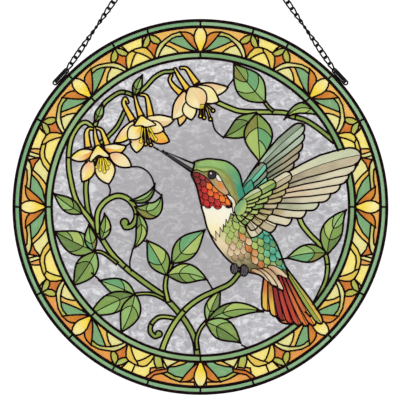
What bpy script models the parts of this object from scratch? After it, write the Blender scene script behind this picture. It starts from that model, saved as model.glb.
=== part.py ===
"""A round leaded glass panel hung on two chains from one ring.

Metres, +Z up. The panel stands in the XZ plane, its front towards -Y. The origin
is the inner top of the hanging ring, where a hook bears. The picture and the
border are drawn flat, as overlapping shapes. Their visible edges become the lead
lines, and what the lines leave open becomes the glass.
"""

import math

import bpy
import numpy as np
from mathutils import Matrix, Vector
from mathutils.geometry import delaunay_2d_cdt

# Driving dimensions of the panel
PANEL_DIAMETER = 0.508
RIM_FACE = 0.0035
RIM_DEPTH = 0.0066
RIM_WEB = 0.0014
RIM_LIP = 0.0012
OUTER_BAND = 0.0072
BORDER_BAND = 0.0340
INNER_BAND = 0.0084
BORDER_REPEATS = 8

# Lead and glass
RING_CAME = 0.0030
CAME = 0.0022
CAME_DEPTH = 0.0050
GLASS = 0.0030
GAP = 0.0003
RING_TOLERANCE = 0.0005
OUTLINE_TOLERANCE = 0.0012
JOINT_TOLERANCE = 0.0001
JOINT_SIDES = 6
SHARP_BEND = math.radians(70)

# Hanging parts
LOOP_LENGTH = 0.030
LOOP_WIDTH = 0.0078
LOOP_WIRE = 0.0018
LOOP_ANGLE = 47.0
LINK_COUNT = 31
LINK_PITCH = 0.0100
LINK_WIDTH = 0.0086
LINK_CROWN = 0.0047
LINK_WIRE = 0.0015
LINK_BITE = 0.0013
LINK_TWIST = 90.0
FIRST_TURN = 90.0 + LINK_TWIST / 2
TURN_EACH_LINK = 21.0
TOP_RING_DIAMETER = 0.024
TOP_RING_WIRE = 0.0026

# Worked out from the driving dimensions
PANEL_RADIUS = PANEL_DIAMETER / 2
RIM_INNER = PANEL_RADIUS - RIM_FACE
GLASS_RADIUS = PANEL_RADIUS - RIM_WEB - GAP
OUTER_RING = RIM_INNER - OUTER_BAND
MIDDLE_RING = OUTER_RING - BORDER_BAND
INNER_RING = MIDDLE_RING - INNER_BAND
PICTURE = INNER_RING / 200
LEAST_PANE_AREA = (6.3 * PICTURE) ** 2
TURN = 360.0
RIM_SIDES = 60

LOOP_RADIUS = PANEL_RADIUS + GAP + LOOP_WIDTH / 2
LOOP_BEND = (LOOP_WIDTH - LOOP_WIRE) / 2
LOOP_HALF_TURN = math.degrees((LOOP_LENGTH - LOOP_WIDTH) / 2 / LOOP_RADIUS)
LINK_LENGTH = LINK_PITCH + LINK_BITE
LINK_REACH = (LINK_WIDTH - LINK_WIRE) / 2
TOP_RING_RADIUS = (TOP_RING_DIAMETER - TOP_RING_WIRE) / 2
LOOP_TO_LINK = (LOOP_WIRE + LINK_WIRE) / 2 + GAP
RING_TO_LINK = (TOP_RING_WIRE + LINK_WIRE) / 2 + GAP
CHAIN_LENGTH = (LINK_COUNT - 1) * LINK_PITCH + LINK_LENGTH
LEG_LENGTH = LOOP_BEND - LOOP_TO_LINK + CHAIN_LENGTH - RING_TO_LINK + TOP_RING_RADIUS
LOOP_EYE_X = LOOP_RADIUS * math.sin(math.radians(LOOP_ANGLE - LOOP_HALF_TURN))
LOOP_EYE_Z = LOOP_RADIUS * math.cos(math.radians(LOOP_ANGLE - LOOP_HALF_TURN))
RING_HEIGHT = LOOP_EYE_Z + math.sqrt(LEG_LENGTH ** 2 - LOOP_EYE_X ** 2)
PANEL_HEIGHT = -(RING_HEIGHT + TOP_RING_RADIUS - TOP_RING_WIRE / 2)

# Colours of the glass and the metal
LEAD = (0.020, 0.006, 0.010)
BLACK = (0.012, 0.013, 0.012)
GLASS_COLOURS = {
    "outer_band": (0.22, 0.52, 0.24),
    "border_field": (0.85, 0.45, 0.11),
    "border_teardrop": (0.95, 0.75, 0.15),
    "inner_band": (0.22, 0.52, 0.24),
    "background": (0.52, 0.51, 0.52),
    "main_vine": (0.36, 0.52, 0.14),
    "inner_vine": (0.42, 0.56, 0.12),
    "flower_vine": (0.40, 0.58, 0.13),
    "perch_vine": (0.42, 0.56, 0.12),
    "upper_vine": (0.33, 0.50, 0.15),
    "right_vine": (0.30, 0.48, 0.16),
    "flower_1": (0.93, 0.60, 0.22),
    "flower_2": (0.93, 0.62, 0.25),
    "flower_3": (0.92, 0.55, 0.20),
    "bird_far_wing": (0.25, 0.33, 0.24),
    "bird_tail": (0.66, 0.15, 0.05),
    "bird_body": (0.32, 0.40, 0.13),
    "bird_breast": (0.50, 0.46, 0.14),
    "bird_throat": (0.48, 0.02, 0.01),
    "bird_beak": (0.05, 0.03, 0.04),
    "bird_near_wing": (0.74, 0.60, 0.40),
}


def move_to_collection(obj, collection):
    for old in list(obj.users_collection):
        old.objects.unlink(obj)
    collection.objects.link(obj)


def material(name, colour, roughness, metallic=0.0, transmission=0.0):
    made = bpy.data.materials.new(name)
    made.use_nodes = True
    shader = made.node_tree.nodes["Principled BSDF"]
    shader.inputs["Base Color"].default_value = (*colour, 1.0)
    shader.inputs["Roughness"].default_value = roughness
    shader.inputs["Metallic"].default_value = metallic
    shader.inputs["Transmission Weight"].default_value = transmission
    return made


# Lines and outlines of the drawing

def at(x, z):
    """A place in the picture, in two-hundredths of its radius from its centre."""
    return Vector((x, z)) * PICTURE


def polar(degrees, radius):
    """A place by its angle from straight up, clockwise, and its distance from the centre."""
    angle = math.radians(degrees)
    return Vector((radius * math.sin(angle), radius * math.cos(angle)))


def in_border(degrees, share):
    return polar(degrees, MIDDLE_RING + (OUTER_RING - MIDDLE_RING) * share)


def smooth(points, closed=False, per_span=6):
    """A Catmull-Rom line through the points."""
    count = len(points)
    line = []
    for i in range(count if closed else count - 1):
        if closed:
            a, b, c, d = (points[(i + k) % count] for k in (-1, 0, 1, 2))
        else:
            a, b, c, d = (points[min(max(i + k, 0), count - 1)] for k in (-1, 0, 1, 2))
        for step in range(per_span):
            t = step / per_span
            line.append(0.5 * (2 * b + (c - a) * t + (2 * a - 5 * b + 4 * c - d) * t ** 2
                               + (3 * b - a - 3 * c + d) * t ** 3))
    if not closed:
        line.append(points[-1].copy())
    return line


def across(direction):
    return Vector((-direction.y, direction.x)).normalized()


def bowed(start, end, bow, shares):
    """Points on a line from start to end that bows to its left by a share of its length."""
    middle = (start + end) / 2 + across(end - start) * (end - start).length * bow * 2
    return [start * (1 - t) ** 2 + middle * 2 * t * (1 - t) + end * t * t for t in shares]


def both_sides(line, half_widths):
    """The points half_widths to the left and to the right of a line."""
    left, right = [], []
    last = len(line) - 1
    for i, (point, half) in enumerate(zip(line, half_widths)):
        side = across(line[min(i + 1, last)] - line[max(i - 1, 0)]) * half
        left.append(point + side)
        right.append(point - side)
    return left, right


def blade(start, end, breadth, bow=0.0, early=0.85, point=1.1):
    """A leaf or a petal, pointed at both ends. It is broadest before its middle where early is under 1."""
    shares = [i / 12 for i in range(13)]
    line = bowed(start, end, bow, shares)
    halves = [breadth / 2 * PICTURE * math.sin(math.pi * t ** early) ** point for t in shares[:-1]] + [0.0]
    left, right = both_sides(line, halves)
    return left + right[-2:0:-1]


def feather(root, tip, breadth, bow=0.0, end_share=0.13):
    """A flight feather, narrow at its root, full from halfway and round at its tip."""
    straight = [0.0, 0.2, 0.4, 0.6, 0.75]
    turns = [math.pi / 2 * i / 6 for i in range(7)]
    shares = straight + [1 - end_share * (1 - math.sin(a)) for a in turns]
    fullness = [0.35 + 0.65 * min(1.0, t / 0.6) for t in straight] + [math.cos(a) for a in turns]
    line = bowed(root, tip, bow, shares)
    left, right = both_sides(line, [breadth / 2 * PICTURE * full for full in fullness])
    return left + right[-2::-1]


def disc(centre, radius, count=16, squash=1.0, turn=0.0):
    spin = Matrix.Rotation(turn, 2)
    angles = [math.tau * i / count for i in range(count)]
    return [centre + spin @ Vector((radius * math.cos(a), radius * squash * math.sin(a))) for a in angles]


def ring_outline(radius, count=96):
    return [polar(TURN * i / count, radius) for i in range(count)]


def stem(route, wide, narrow, bulb=0.0):
    """A band along a smooth route, and a round end where it has a bulb."""
    line = smooth([at(*place) for place in route])
    last = len(line) - 1
    left, right = both_sides(line, [PICTURE / 2 * (wide + (narrow - wide) * i / last) for i in range(last + 1)])
    outlines = [left + right[::-1]]
    if bulb:
        outlines.append(disc(line[-1], bulb * PICTURE))
    return outlines


def signed_area(outline):
    return sum(a.cross(b) for a, b in zip(outline, outline[1:] + outline[:1])) / 2


# The drawing: each entry is a part's name and its outlines, and later ones lie over earlier ones
drawing = []


def paint(part, *outlines, hole=None):
    """Lays a shape over the drawing. Its outlines run counter-clockwise and its hole clockwise."""
    turned = [outline if signed_area(outline) > 0 else outline[::-1] for outline in outlines]
    if hole:
        turned.append(hole if signed_area(hole) < 0 else hole[::-1])
    drawing.append((part, turned))


def draw_border():
    lens = [(0.0, 0.0), (1.1, 0.2), (1.9, 0.42), (2.2, 0.62), (1.8, 0.82), (0.8, 1.0)]
    for k in range(BORDER_REPEATS):
        axis = TURN / BORDER_REPEATS * k
        right = smooth([in_border(axis + turn, share) for turn, share in lens], per_span=3)
        left = smooth([in_border(axis - turn, share) for turn, share in lens], per_span=3)
        paint("border_teardrop", left + right[:0:-1])


# Each vine has stems: a route, the width at its start and its end, and the radius of its bulb.
# Then it has leaves: where each one joins its stem, its tip, its breadth and how far it bows.
VINES = (
    ("inner_vine", (
        (((-142, 66), (-153, 35), (-153, 9), (-149, -12), (-141, -28)), 6, 6, 0),
    ), ()),
    ("flower_vine", (
        (((-143, 106), (-132, 135), (-120, 147), (-108, 154), (-98, 153), (-88, 149)), 5.5, 5, 0),
        (((-90, 149), (-75, 160), (-62, 174), (-50, 181), (-40, 182), (-32, 184)), 5.5, 5, 0),
    ), (
        ((-88, 149), (-78, 177), 12, 0.05),
        ((-142, 114), (-132, 140), 11, -0.05),
    )),
    ("main_vine", (
        (((-143, 105), (-152, 113), (-160, 112), (-168, 103), (-174, 90), (-177, 70), (-176, 45), (-167, 9),
          (-150, -15), (-136, -37), (-119, -63), (-98, -84), (-76, -101), (-50, -120), (-30, -141),
          (-16, -160), (-7, -180), (-4, -201)), 5.5, 7.5, 0),
        (((-137, -36), (-139, -20), (-137, -5), (-127, 8), (-112, 15), (-98, 11), (-88, -1), (-86, -14),
          (-92, -25), (-101, -27), (-102, -21)), 6.5, 7, 5.5),
        (((-31, -151), (-45, -148), (-57, -149), (-66, -158), (-67, -168),
          (-61, -174), (-56, -171)), 4.5, 6.5, 4.6),
        (((-43, -128), (-47, -110), (-46, -96), (-42, -84), (-36, -73)), 6, 4, 0),
        (((-143, -60), (-133, -61), (-122, -68), (-112, -76)), 3.8, 4, 0),
        (((-89, -118), (-75, -116.5), (-62, -118), (-49, -124)), 3.8, 4, 0),
        (((9, -153), (0, -164), (-5, -178), (-4, -192)), 4, 5, 0),
    ), (
        ((-159, -9), (-190, 18), 18, 0.03),
        ((-141, -60), (-189, -34), 30, 0.02),
        ((-141, -60), (-165, -98), 27, 0.03),
        ((-143, -60), (-150, -24), 16, 0.04),
        ((-134, -45), (-129, -9), 15, -0.10),
        ((-88, -118), (-136, -99), 23, -0.02),
        ((-89, -118), (-140, -131), 25, -0.03),
        ((-88, -117), (-106, -159), 25, 0.05),
        ((-46, -92), (-72, -45), 28, -0.03),
        ((-38, -76), (6, -31), 30, 0.02),
        ((-45, -92), (9, -98), 26, 0.10),
        ((9, -154), (27, -111), 18, 0.03),
        ((9, -154), (76, -140), 18, 0.12),
        ((7, -155), (54, -183), 28, 0.06),
        ((-94, 9), (-61, 31), 10, -0.22),
        ((-88, 0), (-52, 16), 22, -0.34),
        ((-85, -8), (-91, -57), 15, 0.18),
    )),
    ("perch_vine", (
        (((-53, -201), (-50, -188), (-42, -169), (-31, -151), (-17, -135), (1, -122), (22, -112), (40, -103),
          (53, -88)), 7.5, 6, 0),
    ), ()),
    ("upper_vine", (
        (((18, 143), (40, 133), (60, 128), (110, 127), (122, 122), (140, 117), (155, 108), (168, 98),
          (180, 88)), 6, 6, 0),
        (((86, 142), (92, 134), (98, 129)), 4, 4, 0),
    ), (
        ((87, 141), (49, 185), 36, 0.03),
        ((75, 127), (31, 94), 27, 0.08),
        ((76, 126), (80, 60), 38, 0.0),
        ((164, 122), (113, 118), 15, -0.26),
    )),
    ("right_vine", (
        (((132, -11), (137, -24), (148, -38), (160, -50), (168, -63), (171, -80), (169, -97), (163, -112),
          (153, -132)), 6.5, 5, 0),
    ), (
        ((170, -62), (116, -69), 24, -0.05),
        ((171, -66), (188, -12), 26, 0.10),
    )),
)

# Each flower: where it hangs, how far it leans and its size
FLOWERS = (
    ((-143, 107), 3, 0.97),
    ((-88, 150), -1, 0.97),
    ((-29, 187), 19, 1.08),
)
SPURS = (((-3, -30), (-9, -18), (-12, -7)), ((2, -28), (1, -14), (0, -2)), ((7, -30), (13, -18), (11, -7)))
PETALS = (
    ((-3, -32), (-31, -44), 14, 0.10),
    ((5, -30), (43, -29), 15, -0.06),
    ((-3, -34), (-17, -71), 20, 0.08),
    ((8, -34), (45, -57), 18, -0.04),
    ((7, -36), (15, -76), 26, 0.02),
)
HOOD = ((2, -22), (9, -32), (19, -40), (11, -45), (3, -46), (-6, -48), (-9, -43), (-4, -32))


# Where the bird's feet hold the stem, and the parts that are lead all over
FEET = ((45.5, -84), (59, -87))
ALL_LEAD = {"bird_foot"}


def draw_flower(name, origin, lean, size):
    """Three spurs from the stem, five petals round the mouth and a hood over them."""
    turn = Matrix.Rotation(math.radians(lean), 2)

    def placed(places):
        return [at(*origin) + turn @ at(*place) * size for place in places]

    for spur in SPURS:
        line = smooth(placed(spur))
        last = len(line) - 1
        left, right = both_sides(line, [PICTURE * size * (4.2 - 1.4 * i / last) for i in range(last + 1)])
        paint(name, left + right[::-1], disc(line[-1], 3.4 * size * PICTURE, 12))
    for base, tip, breadth, bow in PETALS:
        start, end = placed((base, tip))
        paint(name, blade(start, end, breadth * size, bow, early=0.95, point=0.8))
    paint(name, smooth(placed(HOOD), closed=True, per_span=3))


def draw_fan(name, roots, tips, breadths, bows, count):
    """Feathers fanned from a line of roots to a curve of tips, the leading one on top."""
    for i in reversed(range(count)):
        t = i / (count - 1)
        root = roots[0] * (1 - t) + roots[1] * t
        tip = tips[0] * (1 - t) ** 2 + tips[1] * 2 * t * (1 - t) + tips[2] * t * t
        breadth = breadths[0] * (1 - t) + breadths[1] * t
        paint(name, feather(root, tip, breadth, bows[0] * (1 - t) + bows[1] * t))


def draw_patch(name, places):
    paint(name, smooth([at(*place) for place in places], closed=True, per_span=3))


def draw_bird():
    draw_fan("bird_far_wing", (at(60, 24), at(78, 12)), (at(137, 109), at(136, 78), at(112, 36)),
             (15, 14), (0.06, 0.0), 7)
    draw_fan("bird_tail", (at(112, -80), at(90, -78)), (at(163, -157), at(130, -168), at(90, -140)),
             (14, 13), (0.0, 0.0), 8)
    draw_patch("bird_body", ((-11, 55), (5, 58), (20, 59), (34, 54), (44, 43), (50, 22), (56, 4), (78, -16),
                             (98, -42), (109, -66), (118, -95), (104, -92), (112, -112), (96, -105), (80, -92),
                             (62, -87), (46, -78), (34, -68), (20, -50), (10, -30), (5, -10), (1, 8), (-5, 28),
                             (-12, 46)))
    draw_patch("bird_breast", ((1, 4), (14, -2), (28, 0), (42, 2), (46, -6), (37, -21), (30, -34), (21, -48),
                               (10, -30), (5, -10)))
    draw_patch("bird_throat", ((-12, 46), (-5, 27), (1, 3), (14, -2), (28, 0), (42, 2), (35, 14), (24, 24), (9, 41)))
    paint("bird_beak", [at(-58, 77.5), at(-8, 58), at(-11, 46)])
    draw_fan("bird_near_wing", (at(86, 20), at(60, -10)), (at(214, 70), at(184, 12), at(78, -36)),
             (17, 15), (0.05, -0.02), 11)
    draw_fan("bird_near_wing", (at(58, 6), at(54, -4)), (at(136, 47), at(106, 2), at(70, -26)),
             (18, 14), (0.04, 0.0), 6)
    for place in FEET:
        paint("bird_foot", disc(at(*place), 7.5 * PICTURE, 14, 0.62, 1.8))


def draw_panel():
    paint("outer_band", ring_outline(GLASS_RADIUS))
    paint("border_field", ring_outline(OUTER_RING))
    paint("background", ring_outline(INNER_RING + CAME))
    for name, stems, leaves in VINES:
        for route, wide, narrow, bulb in stems:
            paint(name, *stem(route, wide, narrow, bulb))
        for base, tip, breadth, bow in leaves:
            paint(name, blade(at(*base), at(*tip), breadth, bow))
    paint("inner_band", ring_outline(MIDDLE_RING), hole=ring_outline(INNER_RING))
    draw_border()
    draw_bird()
    for number, (origin, lean, size) in enumerate(FLOWERS, 1):
        draw_flower(f"flower_{number}", origin, lean, size)


# Flat regions

def winding(points, outlines):
    """How many times the outlines go round each point."""
    turns = np.zeros(len(points))
    for outline in outlines:
        starts = np.array(outline)
        near = np.flatnonzero(np.all((points >= starts.min(axis=0)) & (points <= starts.max(axis=0)), axis=1))
        x, z = points[near].T[:, :, None]
        ends = np.roll(starts, -1, axis=0)
        (ax, az), (bx, bz) = starts.T, ends.T
        side = (bx - ax) * (z - az) - (bz - az) * (x - ax)
        upward = (az <= z) & (bz > z) & (side > 0)
        downward = (az > z) & (bz <= z) & (side < 0)
        turns[near] += upward.sum(axis=1) - downward.sum(axis=1)
    return turns


def cut_by(outlines):
    """Triangles that no line of the outlines crosses, as points, corners and middles."""
    points, edges = [], []
    for outline in outlines:
        first = len(points)
        points += outline
        edges += [(first + i, first + (i + 1) % len(outline)) for i in range(len(outline))]
    points, _, triangles, _, _, _ = delaunay_2d_cdt(points, edges, [], 0, 1e-7, False)
    triangles = np.array([tuple(t) for t in triangles])
    places = np.array([tuple(p) for p in points])
    return places, triangles, places[triangles].mean(axis=1)


def neighbours(triangles):
    """The triangles on each side of every edge."""
    sides = {}
    for number, corners in enumerate(triangles.tolist()):
        for a, b in zip(corners, corners[1:] + corners[:1]):
            sides.setdefault((min(a, b), max(a, b)), []).append(number)
    return sides


def top_parts(middles):
    """The number of the topmost entry of the drawing at each point, or -1 outside it."""
    top = np.full(len(middles), -1)
    for number, (_, outlines) in enumerate(drawing):
        top[winding(middles, outlines) != 0] = number
    return top


def chains(edges):
    """The edges joined into lines that run from one meeting point to the next."""
    links = {}
    for a, b in edges:
        links.setdefault(a, set()).add(b)
        links.setdefault(b, set()).add(a)
    found = []

    def walk(start, step):
        line = [start, step]
        links[start].discard(step)
        links[step].discard(start)
        while step not in meeting and links[step]:
            following = links[step].pop()
            links[following].discard(step)
            line.append(following)
            step = following
        return line

    meeting = {point for point, ends in links.items() if len(ends) != 2}
    for start in sorted(meeting):
        while links[start]:
            found.append(walk(start, min(links[start])))
    for start in sorted(links):
        if links[start]:
            found.append(walk(start, min(links[start])))
    return found


def thinned(line, tolerance):
    """The line with only the points that it needs to stay within tolerance."""
    if len(line) < 3:
        return line
    start, end = line[0], line[-1]
    chord = end - start
    if chord.length < 1e-9:
        offs = [(p - start).length for p in line]
    else:
        side = across(chord)
        offs = [abs((p - start).dot(side)) for p in line]
    far = max(range(len(line)), key=offs.__getitem__)
    if offs[far] < tolerance:
        return [start, end]
    return thinned(line[:far + 1], tolerance)[:-1] + thinned(line[far:], tolerance)


def came(line, width):
    """A came of this width along a line, as one mitred four-sided outline for each stretch of it."""
    closed = (line[0] - line[-1]).length < 1e-9
    last = len(line) - 1
    left, right = [], []
    for i, point in enumerate(line):
        sides = []
        if i > 0 or closed:
            sides.append(across(point - line[i - 1 if i else last - 1]))
        if i < last or closed:
            sides.append(across(line[i + 1 if i < last else 1] - point))
        side = (sides[0] + sides[-1]).normalized()
        side *= width / 2 / max(0.5, side.dot(sides[0]))
        left.append(point + side)
        right.append(point - side)
    return [[left[i], left[i + 1], right[i + 1], right[i]] for i in range(last)]


def came_width(pair):
    """The rings have wide cames, and a wing or the tail crosses them with a narrow one."""
    on_ring = pair & {"outer_band", "inner_band"}
    crossed = any(part.startswith("bird") for part in pair)
    return RING_CAME if on_ring and not crossed else CAME


def lead_lines():
    """The lines between parts of the drawing, each with the width of its came."""
    places, triangles, middles = cut_by([outline for _, group in drawing for outline in group])
    names = [part for part, _ in drawing] + [None]
    labels = [names[number] for number in top_parts(middles)]
    by_width = {RING_CAME: [], CAME: []}
    for edge, sides in neighbours(triangles).items():
        pair = {labels[number] for number in sides}
        if len(pair) == 2 and None not in pair:
            by_width[came_width(pair)].append(edge)
    lines = []
    for width, tolerance in ((RING_CAME, RING_TOLERANCE), (CAME, OUTLINE_TOLERANCE)):
        for chain in chains(by_width[width]):
            lines.append((thinned([Vector(places[i]) for i in chain], tolerance), width))
    for turn in (0.0, TURN / 2):
        lines.append(([polar(turn, OUTER_RING), polar(turn, GLASS_RADIUS)], CAME))
    return lines


def boundary_loops(triangles, places):
    """The outlines of a region of triangles, without points that lie on a straight run."""
    following = {}
    directed = set()
    for corners in triangles:
        directed.update(zip(corners, corners[1:] + corners[:1]))
    for a, b in directed:
        if (b, a) not in directed:
            following.setdefault(a, []).append(b)
    loops = []
    while following:
        start = next(iter(following))
        loop = [start]
        point = following[start].pop()
        if not following[start]:
            del following[start]
        while point != start:
            choices = following[point]
            came_from = Vector(places[point]) - Vector(places[loop[-1]])
            best = min(choices, key=lambda q: came_from.angle_signed(Vector(places[q]) - Vector(places[point]), 0.0))
            choices.remove(best)
            if not choices:
                del following[point]
            loop.append(point)
            point = best
        loops.append(loop)
    lines = [[Vector(places[i]) for i in loop + loop[:1]] for loop in loops]
    return [line for line in (thinned(line, JOINT_TOLERANCE)[:-1] for line in lines) if len(line) > 2]


def regions(triangles, wanted):
    """The wanted triangles sorted into groups that hang together."""
    group = {number: None for number in np.flatnonzero(wanted).tolist()}
    beside = {number: [] for number in group}
    for sides in neighbours(triangles).values():
        if len(sides) == 2 and sides[0] in group and sides[1] in group:
            beside[sides[0]].append(sides[1])
            beside[sides[1]].append(sides[0])
    found = []
    for start in group:
        if group[start] is not None:
            continue
        group[start] = len(found)
        members = [start]
        for number in members:
            for other in beside[number]:
                if group[other] is None:
                    group[other] = len(found)
                    members.append(other)
        found.append(members)
    return found


def triangle_areas(places, triangles):
    a, b, c = (places[triangles[:, k]] for k in range(3))
    return ((b[:, 0] - a[:, 0]) * (c[:, 1] - a[:, 1]) - (b[:, 1] - a[:, 1]) * (c[:, 0] - a[:, 0])) / 2


def lead_and_panes():
    """The flat outlines of the lead network and of each pane, sorted by part name and clockwise."""
    lines = lead_lines()
    joints = {}
    for line, width in lines:
        bends = [b for a, b, c in zip(line, line[1:], line[2:]) if (b - a).angle(c - b) > SHARP_BEND]
        for point in [line[0], line[-1]] + bends:
            key = (round(point.x, 6), round(point.y, 6))
            joints[key] = max(width, joints.get(key, 0.0))
    lead, clear = [], []
    for shapes, room in ((lead, 0.0), (clear, GAP)):
        shapes += [outline for line, width in lines for outline in came(line, width + 2 * room)]
        shapes += [disc(Vector(place), width * 0.49 + room, JOINT_SIDES) for place, width in joints.items()]
    edge = ring_outline(GLASS_RADIUS, RIM_SIDES)
    lead_edge = ring_outline(RIM_INNER - GAP, RIM_SIDES)
    places, triangles, middles = cut_by([edge, lead_edge] + lead + clear)
    inside = winding(middles, [edge]) != 0
    within_lead_edge = winding(middles, [lead_edge]) != 0
    is_lead = np.zeros(len(middles), bool)
    is_glass = inside.copy()
    for outline in lead:
        is_lead |= winding(middles, [outline]) != 0
    for outline in clear:
        is_glass &= winding(middles, [outline]) == 0
    areas = np.abs(triangle_areas(places, triangles))

    def part_of(members):
        middle = middles[[max(members, key=areas.__getitem__)]]
        return drawing[top_parts(middle)[0]][0]

    for members in regions(triangles, inside & ~is_lead):
        glass_area = areas[[number for number in members if is_glass[number]]].sum()
        if glass_area < LEAST_PANE_AREA or part_of(members) in ALL_LEAD:
            is_lead[members] = True
            is_glass[members] = False
    is_lead &= within_lead_edge
    corners = triangles.tolist()
    network = max(regions(triangles, is_lead), key=len)
    network = boundary_loops([corners[number] for number in network], places)
    panes = []
    for members in regions(triangles, is_glass):
        if areas[members].sum() > LEAST_PANE_AREA / 2:
            x, z = np.average(middles[members], axis=0, weights=areas[members])
            loops = boundary_loops([corners[number] for number in members], places)
            panes.append((part_of(members), math.atan2(x, z) % math.tau, loops))
    panes.sort(key=lambda pane: pane[:2])
    return network, [(part, loops) for part, _, loops in panes]


# Solids

def extruded(name, loops, depth, finish, collection):
    """A flat outline with its holes, as a filled curve of this depth standing in the XZ plane."""
    curve = bpy.data.curves.new(name, "CURVE")
    curve.dimensions = "2D"
    curve.fill_mode = "BOTH"
    curve.extrude = depth / 2
    for loop in loops:
        spline = curve.splines.new("POLY")
        spline.points.add(len(loop) - 1)
        for point, place in zip(spline.points, loop):
            point.co = (place.x, place.y, 0.0, 1.0)
        spline.use_cyclic_u = True
    obj = bpy.data.objects.new(name, curve)
    obj.rotation_euler = (math.pi / 2, 0.0, 0.0)
    obj.location = (0.0, 0.0, PANEL_HEIGHT)
    curve.materials.append(finish)
    collection.objects.link(obj)
    return obj


def meshed(name, places, faces, finish, collection):
    mesh = bpy.data.meshes.new(name)
    mesh.from_pydata(places, [], faces)
    mesh.materials.append(finish)
    obj = bpy.data.objects.new(name, mesh)
    obj.location = (0.0, 0.0, PANEL_HEIGHT)
    collection.objects.link(obj)
    return obj


def make_rim(collection):
    """The U-shaped came round the edge, its groove open towards the glass."""
    half = RIM_DEPTH / 2
    floor = PANEL_RADIUS - RIM_WEB
    slot = half - RIM_LIP
    profile = [(PANEL_RADIUS, half), (PANEL_RADIUS, -half), (RIM_INNER, -half), (RIM_INNER, -slot),
               (floor, -slot), (floor, slot), (RIM_INNER, slot), (RIM_INNER, half)]
    places = [(radius, 0.0, height) for radius, height in profile]
    edges = [(i, (i + 1) % len(profile)) for i in range(len(profile))]
    mesh = bpy.data.meshes.new("rim_came")
    mesh.from_pydata(places, edges, [])
    mesh.materials.append(material("rim_came", LEAD, 0.45, 0.9))
    rim = bpy.data.objects.new("rim_came", mesh)
    rim.rotation_euler = (math.pi / 2, 0.0, 0.0)
    rim.location = (0.0, 0.0, PANEL_HEIGHT)
    screw = rim.modifiers.new("round", "SCREW")
    screw.steps = screw.render_steps = RIM_SIDES
    screw.use_merge_vertices = True
    screw.merge_threshold = 1e-5
    collection.objects.link(rim)


def make_loop(name, side, collection):
    """A long wire loop that lies along the rim's edge."""
    route = []
    for end in (-1, 1):
        for step in range(7):
            swing = math.radians(30 * step - 90)
            along = end * (LOOP_HALF_TURN + math.degrees(LOOP_BEND * math.cos(swing) / LOOP_RADIUS))
            route.append(polar(side * (LOOP_ANGLE + along), LOOP_RADIUS + end * LOOP_BEND * math.sin(swing)))
    curve = bpy.data.curves.new(name, "CURVE")
    curve.dimensions = "3D"
    curve.bevel_depth = LOOP_WIRE / 2
    curve.bevel_resolution = 1
    spline = curve.splines.new("POLY")
    spline.points.add(len(route) - 1)
    for point, place in zip(spline.points, route):
        point.co = (place.x, 0.0, place.y, 1.0)
    spline.use_cyclic_u = True
    obj = bpy.data.objects.new(name, curve)
    obj.location = (0.0, 0.0, PANEL_HEIGHT)
    curve.materials.append(material(name, BLACK, 0.4, 0.9))
    collection.objects.link(obj)


def link_shell(middle, along, turn, twist):
    """Corners and faces of one link of square wire, twisted along its length."""
    sideways = Vector((along.z, 0.0, -along.x))
    outline = [(-LINK_LENGTH / 2, -LINK_CROWN / 2), (-LINK_LENGTH / 2, LINK_CROWN / 2), (0.0, LINK_REACH),
               (LINK_LENGTH / 2, LINK_CROWN / 2), (LINK_LENGTH / 2, -LINK_CROWN / 2), (0.0, -LINK_REACH)]
    count = len(outline)
    corners = []
    for i, (up, out) in enumerate(outline):
        plane = Matrix.Rotation(math.radians(turn + twist * up / LINK_LENGTH), 3, along) @ sideways
        across_plane = along.cross(plane)
        before, here, after = (Vector(outline[k % count]) for k in (i - 1, i, i + 1))
        side = (across(here - before) + across(after - here)).normalized()
        side /= side.dot(across(here - before))
        outward = along * -side.x + plane * -side.y
        for s, t in ((1, 1), (1, -1), (-1, -1), (-1, 1)):
            offset = outward * s + across_plane * t
            corners.append(middle + along * up + plane * out + offset * LINK_WIRE / 2)
    faces = []
    for i in range(count):
        for k in range(4):
            a, b = i * 4 + k, i * 4 + (k + 1) % 4
            c, d = (i + 1) % count * 4 + (k + 1) % 4, (i + 1) % count * 4 + k
            faces.append((a, d, c, b))
    return corners, faces


def make_chain(name, side, collection, cutters):
    """One leg of the chain: every other link in one mesh, and the links between joined on."""
    eye = Vector((side * LOOP_EYE_X, 0.0, LOOP_EYE_Z))
    along = (Vector((0.0, 0.0, RING_HEIGHT)) - eye).normalized()
    first = eye + along * (LOOP_BEND - LOOP_TO_LINK + LINK_LENGTH / 2)
    meshes = []
    for start in (0, 1):
        corners, faces = [], []
        for i in range(start, LINK_COUNT, 2):
            turn = side * (FIRST_TURN + TURN_EACH_LINK * i)
            shell, sides = link_shell(first + along * LINK_PITCH * i, along, turn, side * LINK_TWIST)
            faces += [tuple(len(corners) + k for k in face) for face in sides]
            corners += shell
        meshes.append((corners, faces))
    finish = material(name, BLACK, 0.4, 0.9)
    chain = meshed(name, *meshes[0], finish, collection)
    between = meshed(f"{name}_between", *meshes[1], finish, cutters)
    between.hide_render = True
    between.display_type = "WIRE"
    join = chain.modifiers.new("links between", "BOOLEAN")
    join.operation = "UNION"
    join.solver = "EXACT"
    join.object = between


def make_top_ring(collection):
    bpy.ops.mesh.primitive_torus_add(major_radius=TOP_RING_RADIUS, minor_radius=TOP_RING_WIRE / 2,
                                     major_segments=24, minor_segments=6,
                                     location=(0.0, 0.0, PANEL_HEIGHT + RING_HEIGHT),
                                     rotation=(math.pi / 2, 0.0, 0.0))
    ring = bpy.context.object
    ring.name = "top_ring"
    ring.data.materials.append(material("top_ring", BLACK, 0.4, 0.9))
    move_to_collection(ring, collection)


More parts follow.
